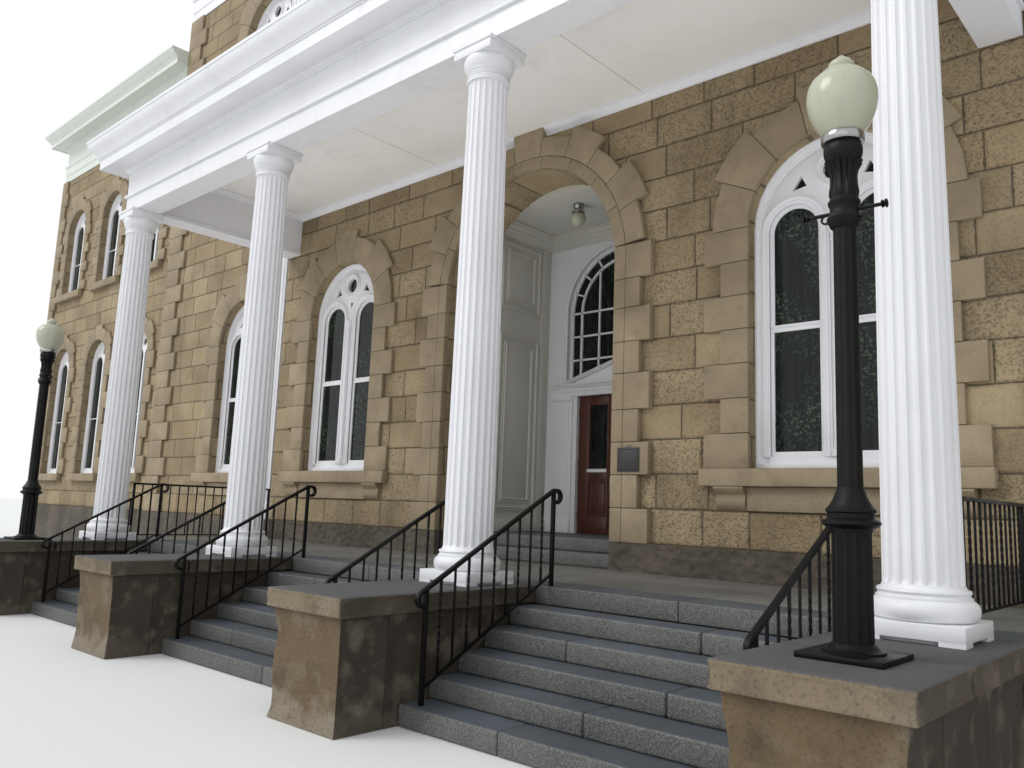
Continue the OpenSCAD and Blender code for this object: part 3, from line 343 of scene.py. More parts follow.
@dataclass(frozen=True)
class Granite:
    """Worn granite: smooth and darker blue-grey on top, the blue being painted shade, and speckled on its
    upright faces; both tones are darkened below the stone's own mid-grey as painted shade.
    """

    name: str = "worn_granite"
    # Tread and riser colours are darkened as painted shade; the tread's blue tint is painted blue shade on
    # the upward faces.
    tread: Colour = (0.078, 0.098, 0.118)
    riser: Colour = (0.128, 0.125, 0.117)
    dark: Colour = (0.020, 0.022, 0.026)
    light: Colour = (0.225, 0.22, 0.205)
    fleck: float = 190.0
    differ: float = 0.3

    def build(self) -> Material:
        """Returns the finished material.

        Returns:
            The material.
        """
        t = Tree(self.name)
        _, _, nz = t.normal()
        # Upward faces take the blue tread colour: painted shade over the worn stone.
        top = t.ramp(nz, 0.55, 0.95)
        colour = t.mix(top, self.riser, self.tread)
        colour = t.mix(t.ramp(t.noise(1.7, 5.0), 0.35, 0.7, 0.0, 0.45), colour, self.dark)
        colour = t.mix(t.math("MULTIPLY", t.island(), self.differ), colour, self.dark)
        light, _, _ = t.split(t.cells(self.fleck, "Color"))
        strength = t.ramp(top, 0.0, 1.0, 0.6, 0.25)
        colour = t.mix(t.math("MULTIPLY", t.ramp(light, 0.66, 0.8), strength), colour, self.light)
        colour = t.mix(t.math("MULTIPLY", t.ramp(light, 0.3, 0.14), strength), colour, self.dark)
        grain = t.noise(120.0, 2.0)
        return t.surface(colour, 0.6, t.bump(grain, 0.002, 0.8, t.bump(t.noise(3.0, 3.0), 0.01, 0.3)))


@dataclass(frozen=True)
class PierStone:
    """Pier stones: golden in front, grey on top, pale where they are worn; the dark colour on the sides and
    on faces set back from the front is painted shade, partly stain.
    """

    name: str
    front: Colour
    side: Colour
    top: Colour = (0.082, 0.083, 0.084)
    soot: Colour = (0.028, 0.022, 0.015)
    worn: Colour = (0.235, 0.200, 0.150)
    foot: float = 0.24
    face: float = -11.184

    def build(self) -> Material:
        """Returns the finished material.

        Returns:
            The material.
        """
        t = Tree(self.name)
        _, along, up = t.split(t.place())
        nx, _, nz = t.normal()
        cloud = t.noise(2.6, 6.0)
        grain = t.noise(52.0, 4.0)
        # Faces set back more than 10 cm behind the pier's front, and faces turned sideways, take the dark
        # side colour: painted shade, partly stain.
        painted_shade_back = t.ramp(along, self.face + 0.10, self.face + 0.14)
        turned = t.math("MAXIMUM", t.ramp(t.math("ABSOLUTE", nx), 0.4, 0.8), painted_shade_back)
        colour = t.mix(t.math("MULTIPLY", turned, 0.9), self.front, self.side)
        colour = t.mix(t.ramp(cloud, 0.48, 0.70, 0.0, 0.6), colour, self.soot)
        colour = t.mix(t.ramp(t.noise(4.4, 5.0), 0.52, 0.66, 0.0, 0.4), colour, self.worn)
        ragged = t.math("ADD", up, t.ramp(t.noise(5.0, 4.0), 0.3, 0.7, -0.16, 0.16))
        low_wear = t.ramp(ragged, 0.06, self.foot, 0.85, 0.0)
        worn = t.math("MULTIPLY", low_wear, t.ramp(turned, 0.0, 1.0, 1.0, 0.25))
        colour = t.mix(worn, colour, self.worn)
        colour = t.mix(t.ramp(nz, 0.6, 0.9), colour, self.top)
        colour = t.mix(t.ramp(grain, 0.5, 0.7, 0.0, 0.45), colour, self.soot)
        return t.surface(colour, 0.85, t.bump(grain, 0.006, 0.8, t.bump(cloud, 0.02, 0.4)))


@dataclass(frozen=True)
class Paint:
    """Oil paint on wood, plaster or iron, with patches and drips of soot and a brushed sheen."""

    name: str
    colour: Colour
    soot: Colour = (0.42, 0.40, 0.37)
    dirt: float = 0.25
    roughness: float = 0.42
    relief: float = 0.0012
    metallic: float = 0.0
    gloss: float = 0.5

    def build(self) -> Material:
        """Returns the finished material.

        Returns:
            The material.
        """
        t = Tree(self.name)
        cloud = t.noise(1.4, 5.0)
        drip = t.noise(1.0, 3.0, t.stretched(7.0, 0.8))
        worn = t.math("MULTIPLY", t.ramp(cloud, 0.45, 0.75), t.ramp(drip, 0.35, 0.7))
        colour = t.mix(t.math("MULTIPLY", worn, self.dirt), self.colour, self.soot)
        shine = t.ramp(t.noise(6.0, 2.0), 0.3, 0.7, self.roughness - 0.08, self.roughness + 0.12)
        brushed = t.bump(t.noise(120.0, 2.0), self.relief, 0.5)
        return t.surface(colour, shine, brushed, Metallic=self.metallic, Specular_IOR_Level=self.gloss)


@dataclass(frozen=True)
class Glass:
    """Window or lamp glass, mottled in tone and a little uneven in surface. On the windows the near-black
    tones are painted shade of the unlit rooms behind, and the green flecks are painted reflections of
    foliage.
    """

    name: str
    colour: Colour
    second: Colour
    fleck: Colour
    roughness: float = 0.04
    gloss: float = 0.5
    patch: float = 1.6

    def build(self) -> Material:
        """Returns the finished material.

        Returns:
            The material.
        """
        t = Tree(self.name)
        folds = t.noise(1.0, 2.0, t.stretched(26.0, 1.0))
        clouds = t.ramp(t.noise(self.patch, 4.0), 0.42, 0.58)
        # Flecks: on the window glass they are painted reflections of foliage; on the milky globe they are a
        # faint mottle.
        mottle_and_reflection_flecks = t.math("MULTIPLY", t.ramp(t.noise(30.0, 4.0), 0.53, 0.62), clouds)
        colour = t.mix(t.math("MULTIPLY", t.ramp(folds, 0.4, 0.65), 0.8), self.colour, self.second)
        ripple = t.bump(t.noise(2.2, 1.0), 0.004, 0.5)
        return t.surface(t.mix(mottle_and_reflection_flecks, colour, self.fleck), self.roughness, ripple,
                         Specular_IOR_Level=self.gloss)


@dataclass(frozen=True)
class Timber:
    """Varnished or plain boards with grain."""

    name: str
    pale: Colour
    dark: Colour
    roughness: float = 0.35

    def build(self) -> Material:
        """Returns the finished material.

        Returns:
            The material.
        """
        t = Tree(self.name)
        grain = t.noise(1.0, 6.0, t.stretched(60.0, 3.0))
        colour = t.mix(t.ramp(grain, 0.3, 0.7), self.dark, self.pale)
        return t.surface(colour, self.roughness, t.bump(grain, 0.001, 0.4))


FINISHES = {
    "wall": Ashlar(),
    "dressed": Stone("dressed_sandstone", (0.40, 0.318, 0.205), (0.235, 0.183, 0.115), relief=0.004,
                     differ=0.5),
    "rough": Stone("rough_base_stone", (0.125, 0.102, 0.072), (0.050, 0.042, 0.030), relief=0.01, pit=11.0,
                   pit_depth=0.03),
    "granite": Granite(),
    "paving": Stone("porch_paving_stone", (0.160, 0.155, 0.140), (0.095, 0.093, 0.088), grain=80.0,
                    speckle=0.3,
                    differ=0.3, roughness=0.7),
    "white": Paint("white_gloss_paint", (0.79, 0.79, 0.81)),
    # The wings' white paint is tinted green-grey: painted shade of the trees.
    "wing_shade_paint": Paint("wing_cornice_paint", (0.66, 0.70, 0.64)),
    # The ceiling paint is lighter than the other white paint: painted light, standing in for light thrown up
    # from the paving.
    "ceiling": Paint("ceiling_paint", (0.87, 0.84, 0.81), dirt=0.25, roughness=0.6),
    "iron": Paint("black_iron_paint", (0.003, 0.003, 0.0035), (0.010, 0.009, 0.008), roughness=0.45,
                  relief=0.002, gloss=0.2),
    "chrome": Paint("lamp_collar_chrome", (0.36, 0.36, 0.36), (0.18, 0.18, 0.18), roughness=0.24,
                    metallic=1.0),
    "globe": Glass("milky_lamp_glass", (0.45, 0.455, 0.34), (0.42, 0.43, 0.33), (0.44, 0.45, 0.35),
                   roughness=0.22),
    # Near-black window glass: painted shade of the unlit rooms behind, with green flecks that are painted
    # reflections of foliage.
    "glass": Glass("window_glass", (0.005, 0.007, 0.007), (0.014, 0.019, 0.017), (0.060, 0.085, 0.055),
                   roughness=0.03, gloss=0.25),
    "door": Timber("varnished_door_wood", (0.115, 0.035, 0.02), (0.045, 0.014, 0.01)),
    "boards": Timber("floor_boards", (0.30, 0.20, 0.12), (0.20, 0.13, 0.08), roughness=0.6),
    "roof": Paint("roof_sheet_paint", (0.30, 0.30, 0.36), (0.16, 0.16, 0.17), roughness=0.5),
    # The second colour of each pier stone is painted shade for its sides and set-back faces, partly stain.
    "pier": PierStone("stained_pier_stone", (0.130, 0.088, 0.045), (0.034, 0.027, 0.020)),
    "cap": PierStone("pier_cap_stone", (0.195, 0.150, 0.095), (0.060, 0.048, 0.034)),
    "reveal": Paint("recess_grey_paint", (0.60, 0.585, 0.53), dirt=0.2),
    "plate": Paint("bare_plate_paint", (0.045, 0.044, 0.046), (0.08, 0.07, 0.06), roughness=0.5,
                   metallic=0.4),
}

SLOT_FINISH = {
    "stone": "wall", "dressed_stone": "dressed", "granite": "granite", "white_paint": "white", "iron": "iron",
    "roof_metal": "roof", "globe": "globe", "floor_boards": "boards", "window_glass": "glass",
    "door_wood": "door",
}

NODE_FINISH = {"base_course": "rough", "wing_entablatures": "wing_shade_paint", "porch_ceiling": "ceiling"}


@dataclass
class Palette:
    """The finishes as Blender materials, made once each."""

    made: dict[str, Material] = field(default_factory=dict)

    def get(self, key: str) -> Material:
        """Returns the material of that finish.

        Args:
            key: The key of the finish.

        Returns:
            The material.
        """
        if key not in self.made:
            self.made[key] = FINISHES[key].build()
        return self.made[key]

    def dress_nodes(self, frame: dict) -> None:
        """Gives every solid of the construction its finish.

        Args:
            frame: What the loader returned.
        """
        for row in frame["record"]["subparts"]:
            materials = frame["nodes"][row["node"]].data.materials
            materials.clear()
            materials.append(self.get(NODE_FINISH.get(row["node"], SLOT_FINISH[row["material_slot"]])))


class Bench:
    """The modelling moves that every piece is made with."""

    @staticmethod
    def at(plane: Plane, a: float, b: float, level: float) -> Point:
        """Lifts a point of a flat drawing into the building.

        Args:
            plane: The plane of the drawing.
            a: The drawing's first coordinate.
            b: The drawing's second coordinate.
            level: Where the drawing lies across its plane.

        Returns:
            The point in metres.
        """
        if plane is Plane.FRONT:
            return (a, level, b)
        if plane is Plane.SIDE:
            return (level, a, b)
        return (a, b, level)

    @staticmethod
    def alone(piece: Piece) -> None:
        """Selects one piece and nothing else.

        Args:
            piece: The piece to select.
        """
        bpy.ops.object.select_all(action="DESELECT")
        piece.select_set(True)
        bpy.context.view_layer.objects.active = piece

    @staticmethod
    def drop(piece: Piece) -> None:
        """Clears away a piece that was only a pattern or a cutter."""
        Bench.alone(piece)
        bpy.ops.object.delete()

    @staticmethod
    def tidy(piece: Piece, reach: float = 0.00005) -> None:
        """Merges doubled points and turns every face outward.

        Args:
            piece: The mesh to clean.
            reach: Points closer than this are merged.
        """
        Bench.alone(piece)
        bpy.ops.object.mode_set(mode="EDIT")
        bpy.ops.mesh.select_all(action="SELECT")
        bpy.ops.mesh.remove_doubles(threshold=reach)
        bpy.ops.mesh.normals_make_consistent(inside=False)
        bpy.ops.object.mode_set(mode="OBJECT")

    @staticmethod
    def loft(rings: Sequence[Sequence[Point]], closed: bool = False) -> Piece:
        """Extrudes an outline through a row of rings that have the same number of points.

        Args:
            rings: The outline's points at each stop.
            closed: True where the last ring joins the first.

        Returns:
            The new mesh object.
        """
        count = len(rings[0])
        stops = [*rings, rings[0]] if closed else list(rings)
        bpy.ops.object.select_all(action="DESELECT")
        bpy.ops.mesh.primitive_circle_add(vertices=count, fill_type="NOTHING" if closed else "NGON")
        piece = bpy.context.object
        bpy.ops.object.mode_set(mode="EDIT")
        for _ in stops[1:]:
            bpy.ops.mesh.extrude_region_move(TRANSFORM_OT_translate={"value": (0.0, 0.0, 1.0)})
        bpy.ops.object.mode_set(mode="OBJECT")
        piece.data.vertices.foreach_set("co", [c for ring in stops for point in ring for c in point])
        piece.data.update()
        Bench.tidy(piece)
        return piece

    @staticmethod
    def block(low: Point, high: Point, bevel: float = 0.0) -> Piece:
        """Squares a stone or board between two corners.

        Args:
            low: One corner.
            high: The corner opposite to it.
            bevel: The width of the worn edge.

        Returns:
            The new mesh object.
        """
        middle = [(a + b) / 2 for a, b in zip(low, high)]
        bpy.ops.object.select_all(action="DESELECT")
        bpy.ops.mesh.primitive_cube_add(size=1.0, location=middle,
                                        scale=[abs(b - a) for a, b in zip(low, high)])
        bpy.ops.object.transform_apply(location=True, rotation=True, scale=True)
        piece = bpy.context.object
        if bevel:
            Bench.bevel(piece, bevel)
        return piece

    @staticmethod
    def bevel(piece: Piece, width: float, segments: int = 2) -> None:
        """Rounds the sharp edges of a piece.

        Args:
            piece: The mesh to round.
            width: The width of the rounding.
            segments: The number of faces across it.
        """
        Bench.alone(piece)
        edge = piece.modifiers.new("edge", "BEVEL")
        edge.width = width
        edge.segments = segments
        edge.limit_method = "ANGLE"
        edge.angle_limit = math.radians(40.0)
        bpy.ops.object.modifier_apply(modifier=edge.name)

    @staticmethod
    def wear(piece: Piece, depth: float, reach: float, share: Callable[[Vector], float],
             cuts: int = 9) -> None:
        """Eats the surface of a stone away unevenly, always inward.

        Args:
            piece: The stone to wear.
            depth: The deepest wear.
            reach: The size of the hollows.
            share: How much of the wear a point gets, from none to all.
            cuts: The number of cuts along each edge of the stone.
        """
        Bench.alone(piece)
        bpy.ops.object.mode_set(mode="EDIT")
        bpy.ops.mesh.select_all(action="SELECT")
        bpy.ops.mesh.subdivide(number_cuts=cuts)
        bpy.ops.object.mode_set(mode="OBJECT")
        open_faces = piece.vertex_groups.new(name="open")
        for point in piece.data.vertices:
            open_faces.add([point.index], min(1.0, max(0.0, share(point.co))), "REPLACE")
        clouds = bpy.data.textures.new("wear", "CLOUDS")
        clouds.noise_scale = reach
        worn = piece.modifiers.new("wear", "DISPLACE")
        worn.texture = clouds
        worn.texture_coords = "LOCAL"
        worn.vertex_group = open_faces.name
        worn.mid_level = 0.0
        worn.strength = -depth
        bpy.ops.object.modifier_apply(modifier=worn.name)
        piece.vertex_groups.clear()

    @staticmethod
    def prism(outline: Outline, plane: Plane, near: float, far: float) -> Piece:
        """Gives a flat outline a thickness.

        Args:
            outline: The outline's corners in order.
            plane: The plane that it is drawn in.
            near: Where the thickness starts across the plane.
            far: Where it ends.

        Returns:
            The new mesh object.
        """
        return Bench.loft([[Bench.at(plane, a, b, level) for a, b in outline] for level in (near, far)])

    @staticmethod
    def mitres(path: Outline, closed: bool) -> list[Flat]:
        """Finds the sideways step at each corner of a path that keeps a moulding's width.

        Args:
            path: The corners of the path.
            closed: True where the path runs back to its start.

        Returns:
            One step to the right-hand side for each corner.
        """
        steps = []
        last = len(path) - 1
        for i, here in enumerate(path):
            sides = []
            for a, b in ((path[i - 1], here), (here, path[(i + 1) % len(path)])):
                if not closed and (a is here and i == last or b is here and i == 0):
                    continue
                run = math.dist(a, b)
                sides.append(((b[1] - a[1]) / run, (a[0] - b[0]) / run))
            first, second = sides[0], sides[-1]
            share = 1.0 + first[0] * second[0] + first[1] * second[1]
            steps.append(((first[0] + second[0]) / share, (first[1] + second[1]) / share))
        return steps

    @staticmethod
    def moulding(profile: Outline, path: Outline, plane: Plane, level: float,
                 closed: bool = False, rise: float = 1.0) -> Piece:
        """Runs a section along a flat path, with mitred corners.

        Args:
            profile: The section, as steps to the right of the path and steps across the plane.
            path: The corners of the path.
            plane: The plane of the path.
            level: Where the path lies across its plane.
            closed: True where the path runs back to its start.
            rise: Plus or minus one, the way the section rises across the plane.

        Returns:
            The new mesh object.
        """
        rings = []
        for (a, b), (da, db) in zip(path, Bench.mitres(path, closed)):
            rings.append([Bench.at(plane, a + da * out, b + db * out, level + rise * up) for out,
                          up in profile])
        return Bench.loft(rings, closed)

    @staticmethod
    def trim(profile: Outline, path: Outline, level: float, closed: bool = False) -> Piece:
        """Runs a section that stands out forward along a path on a front."""
        return Bench.moulding(profile, path, Plane.FRONT, level, closed, -1.0)

    @staticmethod
    def turned(profile: Outline, centre: Flat, steps: int = 40) -> Piece:
        """Turns a section on an upright axis, as on a lathe.

        Args:
            profile: Radius and height at each stop, from the foot up.
            centre: The axis in plan.
            steps: The number of faces round it.

        Returns:
            The new mesh object.
        """
        turns = [math.tau * i / steps for i in range(steps)]
        rings = [[(centre[0] + max(r, 0.0001) * math.cos(t), centre[1] + max(r, 0.0001) * math.sin(t), z)
                  for t in turns] for r, z in profile]
        return Bench.loft(rings)

    @staticmethod
    def fluted(stops: Sequence[tuple[float, float, float]], centre: Flat, flutes: int,
               share: float = 0.8, steps: int = 6) -> Piece:
        """Raises a shaft with hollow channels cut along it.

        Args:
            stops: Height, radius and depth of the channels at each stop.
            centre: The axis in plan.
            flutes: The number of channels.
            share: How much of the girth the channels take.
            steps: The number of faces across a channel.

        Returns:
            The new mesh object.
        """
        rings = []
        for z, radius, depth in stops:
            ring = []
            for k in range(flutes):
                middle = math.tau * (k + 0.5) / flutes
                for i in range(steps + 1):
                    across = math.pi * i / steps
                    turn = middle - math.pi / flutes * share * math.cos(across)
                    r = radius - depth * math.sin(across)
                    ring.append((centre[0] + r * math.cos(turn), centre[1] + r * math.sin(turn), z))
            rings.append(ring)
        return Bench.loft(rings)

    @staticmethod
    def cut(piece: Piece, cutters: Sequence[Piece]) -> None:
        """Cuts holes through a piece and clears the cutters away.

        Args:
            piece: The mesh to cut.
            cutters: The solids that are taken out of it.
        """
        for cutter in cutters:
            Bench.alone(piece)
            hole = piece.modifiers.new("hole", "BOOLEAN")
            hole.object = cutter
            hole.operation = "DIFFERENCE"
            hole.solver = "EXACT"
            bpy.ops.object.modifier_apply(modifier=hole.name)
            Bench.drop(cutter)

    @staticmethod
    def copy(piece: Piece, move: Matrix) -> Piece:
        """Makes a second piece with its own mesh.

        Args:
            piece: The piece that is copied.
            move: Where the copy goes, from the piece's own place.

        Returns:
            The copy.
        """
        Bench.alone(piece)
        bpy.ops.object.duplicate(linked=False)
        twin = bpy.context.object
        twin.data.transform(move)
        return twin

    @staticmethod
    def join(pieces: Sequence[Piece]) -> Piece:
        """Joins pieces into the first one.

        Args:
            pieces: The pieces, the first of which stays.

        Returns:
            The joined piece.
        """
        bpy.ops.object.select_all(action="DESELECT")
        for piece in pieces:
            piece.select_set(True)
        bpy.context.view_layer.objects.active = pieces[0]
        if len(pieces) > 1:
            bpy.ops.object.join()
        return pieces[0]

    @staticmethod
    def arc(centre: Flat, radius: float, start: float, end: float, steps: int) -> list[Flat]:
        """Draws part of a circle.

        Args:
            centre: The circle's centre.
            radius: Its radius.
            start: The first angle in degrees.
            end: The last angle in degrees.
            steps: The number of straight lines.

        Returns:
            The points from start to end.
        """
        turns = [math.radians(start + (end - start) * i / steps) for i in range(steps + 1)]
        return [(centre[0] + radius * math.cos(t), centre[1] + radius * math.sin(t)) for t in turns]

    @staticmethod
    def arch(half: float, foot: float, spring: float, steps: int = 24, middle: float = 0.0) -> list[Flat]:
        """Draws the edge of a round-headed opening, from its left foot over to its right foot.

        Args:
            half: Half the width of the opening.
            foot: Height of its foot.
            spring: Height at which the head starts.
            steps: The number of lines in the head.
            middle: The opening's centre line.

        Returns:
            The points of the edge.
        """
        return [(middle - half, foot), *Bench.arc((middle, spring), half, 180.0, 0.0, steps),
                (middle + half, foot)]


@dataclass
class Part:
    """A sub-assembly that knows how to dress the pieces it builds."""

    palette: Palette

    def dress(self, piece: Piece, name: str, finish: str, nodes: Sequence[str] = (),
              body: str = "building", angle: float = 35.0) -> Piece:
        """Names a piece, moves it into the shared frame, paints it and sets it on its body.

        Args:
            piece: The finished mesh.
            name: Its name.
            finish: The key of its finish.
            nodes: The construction nodes that it stands for.
            body: The body that it rides on.
            angle: Edges sharper than this stay sharp.

        Returns:
            The same piece.
        """
        piece.name = name
        piece.data.name = name
        piece.data.transform(Matrix.Translation((0.0, -MIDDLE_Y, GROUND_DROP)))
        piece.data.materials.clear()
        piece.data.materials.append(self.palette.get(finish))
        Bench.alone(piece)
        bpy.ops.object.shade_smooth_by_angle(angle=math.radians(angle))
        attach(piece, body)
        if nodes:
            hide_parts(*nodes)
        LOG.info("%s: %d faces", name, len(piece.data.polygons))
        return piece

    def repeat(self, pattern: Piece, moves: Sequence[Matrix], name: str, finish: str, nodes: Sequence[str],
               angle: float = 35.0) -> None:
        """Dresses a copy of a pattern at every place and clears the pattern away.

        Args:
            pattern: The piece that is copied.
            moves: Where each copy goes, from the pattern's place.
            name: The copies' name, before their number.
            finish: The key of their finish.
            nodes: The construction nodes that they stand for.
            angle: Edges sharper than this stay sharp.
        """
        for i, move in enumerate(moves):
            self.dress(Bench.copy(pattern, move), f"{name}_{i + 1}", finish, nodes, angle=angle)
        Bench.drop(pattern)


@dataclass
class Columns(Part):
    """The four fluted columns with their bases and capitals."""

    pitch: float = 3.81
    height: float = 5.03
    plinth: float = 0.59
    plinth_height: float = 0.11
    foot: float = 0.2225
    neck: float = 0.190
    flutes: int = 20
    depth: float = 0.019
    flute_foot: float = 0.305
    flute_head: float = 4.665
    base: Outline = (
        (0.262, 0.11), (0.285, 0.125), (0.2955, 0.15), (0.297, 0.175), (0.290, 0.205), (0.270, 0.224),
        (0.262, 0.228), (0.262, 0.242), (0.251, 0.246), (0.249, 0.258), (0.252, 0.262), (0.257, 0.272),
        (0.252, 0.284), (0.236, 0.288), (0.228, 0.298), (0.2235, 0.312), (0.18, 0.314),
    )
    capital: Outline = (
        (0.17, 4.655), (0.192, 4.658), (0.204, 4.664), (0.2085, 4.674), (0.205, 4.684), (0.2035, 4.687),
        (0.208, 4.694), (0.2085, 4.702), (0.203, 4.710), (0.192, 4.713), (0.192, 4.722), (0.200, 4.726),
        (0.203, 4.736), (0.198, 4.742), (0.207, 4.748), (0.210, 4.758), (0.205, 4.764), (0.216, 4.771),
        (0.219, 4.781), (0.214, 4.786), (0.228, 4.804), (0.239, 4.832), (0.2455, 4.868), (0.2445, 4.895),
        (0.236, 4.912),
    )
    slab: float = 0.255
    slab_foot: float = 4.908

    def build(self) -> None:
        """Builds one column at each bay line."""
        moves = [Matrix.Translation(((i - 1.5) * self.pitch, 0.0, 0.0)) for i in range(4)]
        self.repeat(self.shaft(), moves, "fluted_shaft", "white", ("column_shafts",))
        self.repeat(self.foot_stone(), moves, "column_base", "white", ("column_bases",))
        self.repeat(self.head(), moves, "column_capital", "white", ("column_capitals",))

    def shaft(self) -> Piece:
        """Raises the channelled shaft, with a slight swell.

        Returns:
            The shaft.
        """
        low, high = self.flute_foot, self.flute_head
        stops = [(low, self.foot, 0.0), (low + 0.012, self.foot, self.depth * 0.55),
                 (low + 0.035, self.foot, self.depth)]
        for share in (0.2, 0.4, 0.6, 0.8):
            radius = self.foot + (self.neck - self.foot) * share ** 1.35
            stops.append((low + (high - low) * share, radius, self.depth * (1.0 - 0.12 * share)))
        stops += [(high - 0.05, self.neck, self.depth * 0.86), (high - 0.02, self.neck, self.depth * 0.6),
                  (high, self.neck, 0.0)]
        return Bench.fluted(stops, (0.0, 0.0), self.flutes)

    def foot_stone(self) -> Piece:
        """Builds the turned base on its square plinth, which stands on four low feet.

        Returns:
            The base and plinth.
        """
        half = self.plinth / 2
        gap, foot = 0.022, 0.14
        plinth = Bench.block((-half, -half, gap), (half, half, self.plinth_height), 0.006)
        pieces = [Bench.turned(self.base, (0.0, 0.0), 56), plinth]
        outer, inner = half - 0.001, half - foot + 0.001
        for sx in (-1, 1):
            for sy in (-1, 1):
                pieces.append(Bench.block((sx * outer, sy * outer, 0.0),
                                          (sx * inner, sy * inner, gap + 0.004)))
        core = half - 0.05
        pieces.append(Bench.block((-core, -core, 0.0), (core, core, gap + 0.002)))
        return Bench.join(pieces)

    def head(self) -> Piece:
        """Builds the ringed bell under its square slab.

        Returns:
            The capital.
        """
        inner = self.slab - 0.012
        lower = Bench.block((-inner, -inner, self.slab_foot), (inner, inner, self.height - 0.034), 0.004)
        low = (-self.slab, -self.slab, self.height - 0.036)
        upper = Bench.block(low, (self.slab, self.slab, self.height), 0.005)
        return Bench.join([Bench.turned(self.capital, (0.0, 0.0), 56), lower, upper])


@dataclass
class PorchTop(Part):
    """The moulded beams and cornice over the columns, the ceiling and the low roof wall."""

    half: float = 5.892
    front: float = -0.177
    wall: float = 2.77
    beam: float = 0.354
    soffit: float = 5.03
    ceiling: float = 5.76
    top: float = 6.16
    section: Outline = (
        (-0.354, 5.03), (-0.366, 5.036), (-0.366, 5.052), (-0.357, 5.058), (-0.370, 5.066), (-0.370, 5.084),
        (-0.354, 5.092), (-0.354, 6.16), (0.512, 6.16), (0.512, 6.122), (0.500, 6.116), (0.496, 6.085),
        (0.484, 6.052), (0.462, 6.020), (0.430, 5.985), (0.400, 5.945), (0.378, 5.905), (0.368, 5.884),
        (0.352, 5.878), (0.352, 5.862), (0.3355, 5.853), (0.3355, 5.712), (0.322, 5.712), (0.316, 5.722),
        (0.072, 5.722), (0.060, 5.716), (0.048, 5.700), (0.040, 5.682), (0.022, 5.674), (0.016, 5.660),
        (0.0, 5.656), (0.0, 5.326), (0.014, 5.318), (0.030, 5.304), (0.034, 5.290), (0.034, 5.272),
        (0.026, 5.264), (0.0, 5.258), (0.0, 5.03),
    )
    cove: Outline = (
        (0.0, 5.655), (0.012, 5.655), (0.012, 5.668), (0.022, 5.680), (0.040, 5.706), (0.066, 5.728),
        (0.082, 5.736), (0.082, 5.748), (0.094, 5.748), (0.094, 5.762), (0.0, 5.762),
    )
    panels: int = 3

    def build(self) -> None:
        """Builds the beams with their cornice, the ceiling and the roof wall."""
        path = [(-self.half, self.wall), (-self.half, self.front), (self.half, self.front),
                (self.half, self.wall)]
        beams = Bench.moulding(self.section, path, Plane.PLAN, 0.0)
        self.dress(beams, "porch_entablature", "white", ("porch_beams", "porch_cornice"), angle=28.0)
        self.dress(self.boards(), "ceiling_boards", "ceiling", ("porch_ceiling",))
        inner = self.half - self.beam
        loop = [(-inner, self.front + self.beam), (-inner, self.wall), (inner, self.wall),
                (inner, self.front + self.beam)]
        cove = Bench.moulding([(-out, up) for out, up in self.cove], loop[::-1], Plane.PLAN, 0.0, closed=True)
        self.dress(cove, "ceiling_cove", "white", angle=28.0)
        self.dress(self.roof_wall(), "porch_roof_wall", "roof", ("porch_parapet",))

    def boards(self) -> Piece:
        """Lays the ceiling in wide sheets with a dark joint between them.

        Returns:
            The joined boards.
        """
        inner = self.half - self.beam
        width = 2 * inner / self.panels
        pieces = []
        for i in range(self.panels):
            low = (-inner + i * width + 0.005, self.front + self.beam, self.ceiling)
            high = (-inner + (i + 1) * width - 0.005, self.wall, self.ceiling + 0.03)
            pieces.append(Bench.block(low, high, 0.003))
        low = (-inner, self.front + self.beam, self.ceiling + 0.03)
        pieces.append(Bench.block(low, (inner, self.wall, self.ceiling + 0.06)))
        return Bench.join(pieces)

    def roof_wall(self) -> Piece:
        """Builds the low sheet-metal wall round the porch roof, with its capping.

        Returns:
            The wall.
        """
        z = self.top + 0.08
        outer = self.half
        profile = [(0.0, z), (0.0, z + 0.42), (0.03, z + 0.43), (0.03, z + 0.48), (-0.354, z + 0.48),
                   (-0.354, z)]
        path = [(-outer, self.wall), (-outer, self.front), (outer, self.front), (outer, self.wall)]
        return Bench.moulding([(out - 0.03, up) for out, up in profile], path, Plane.PLAN, 0.0)


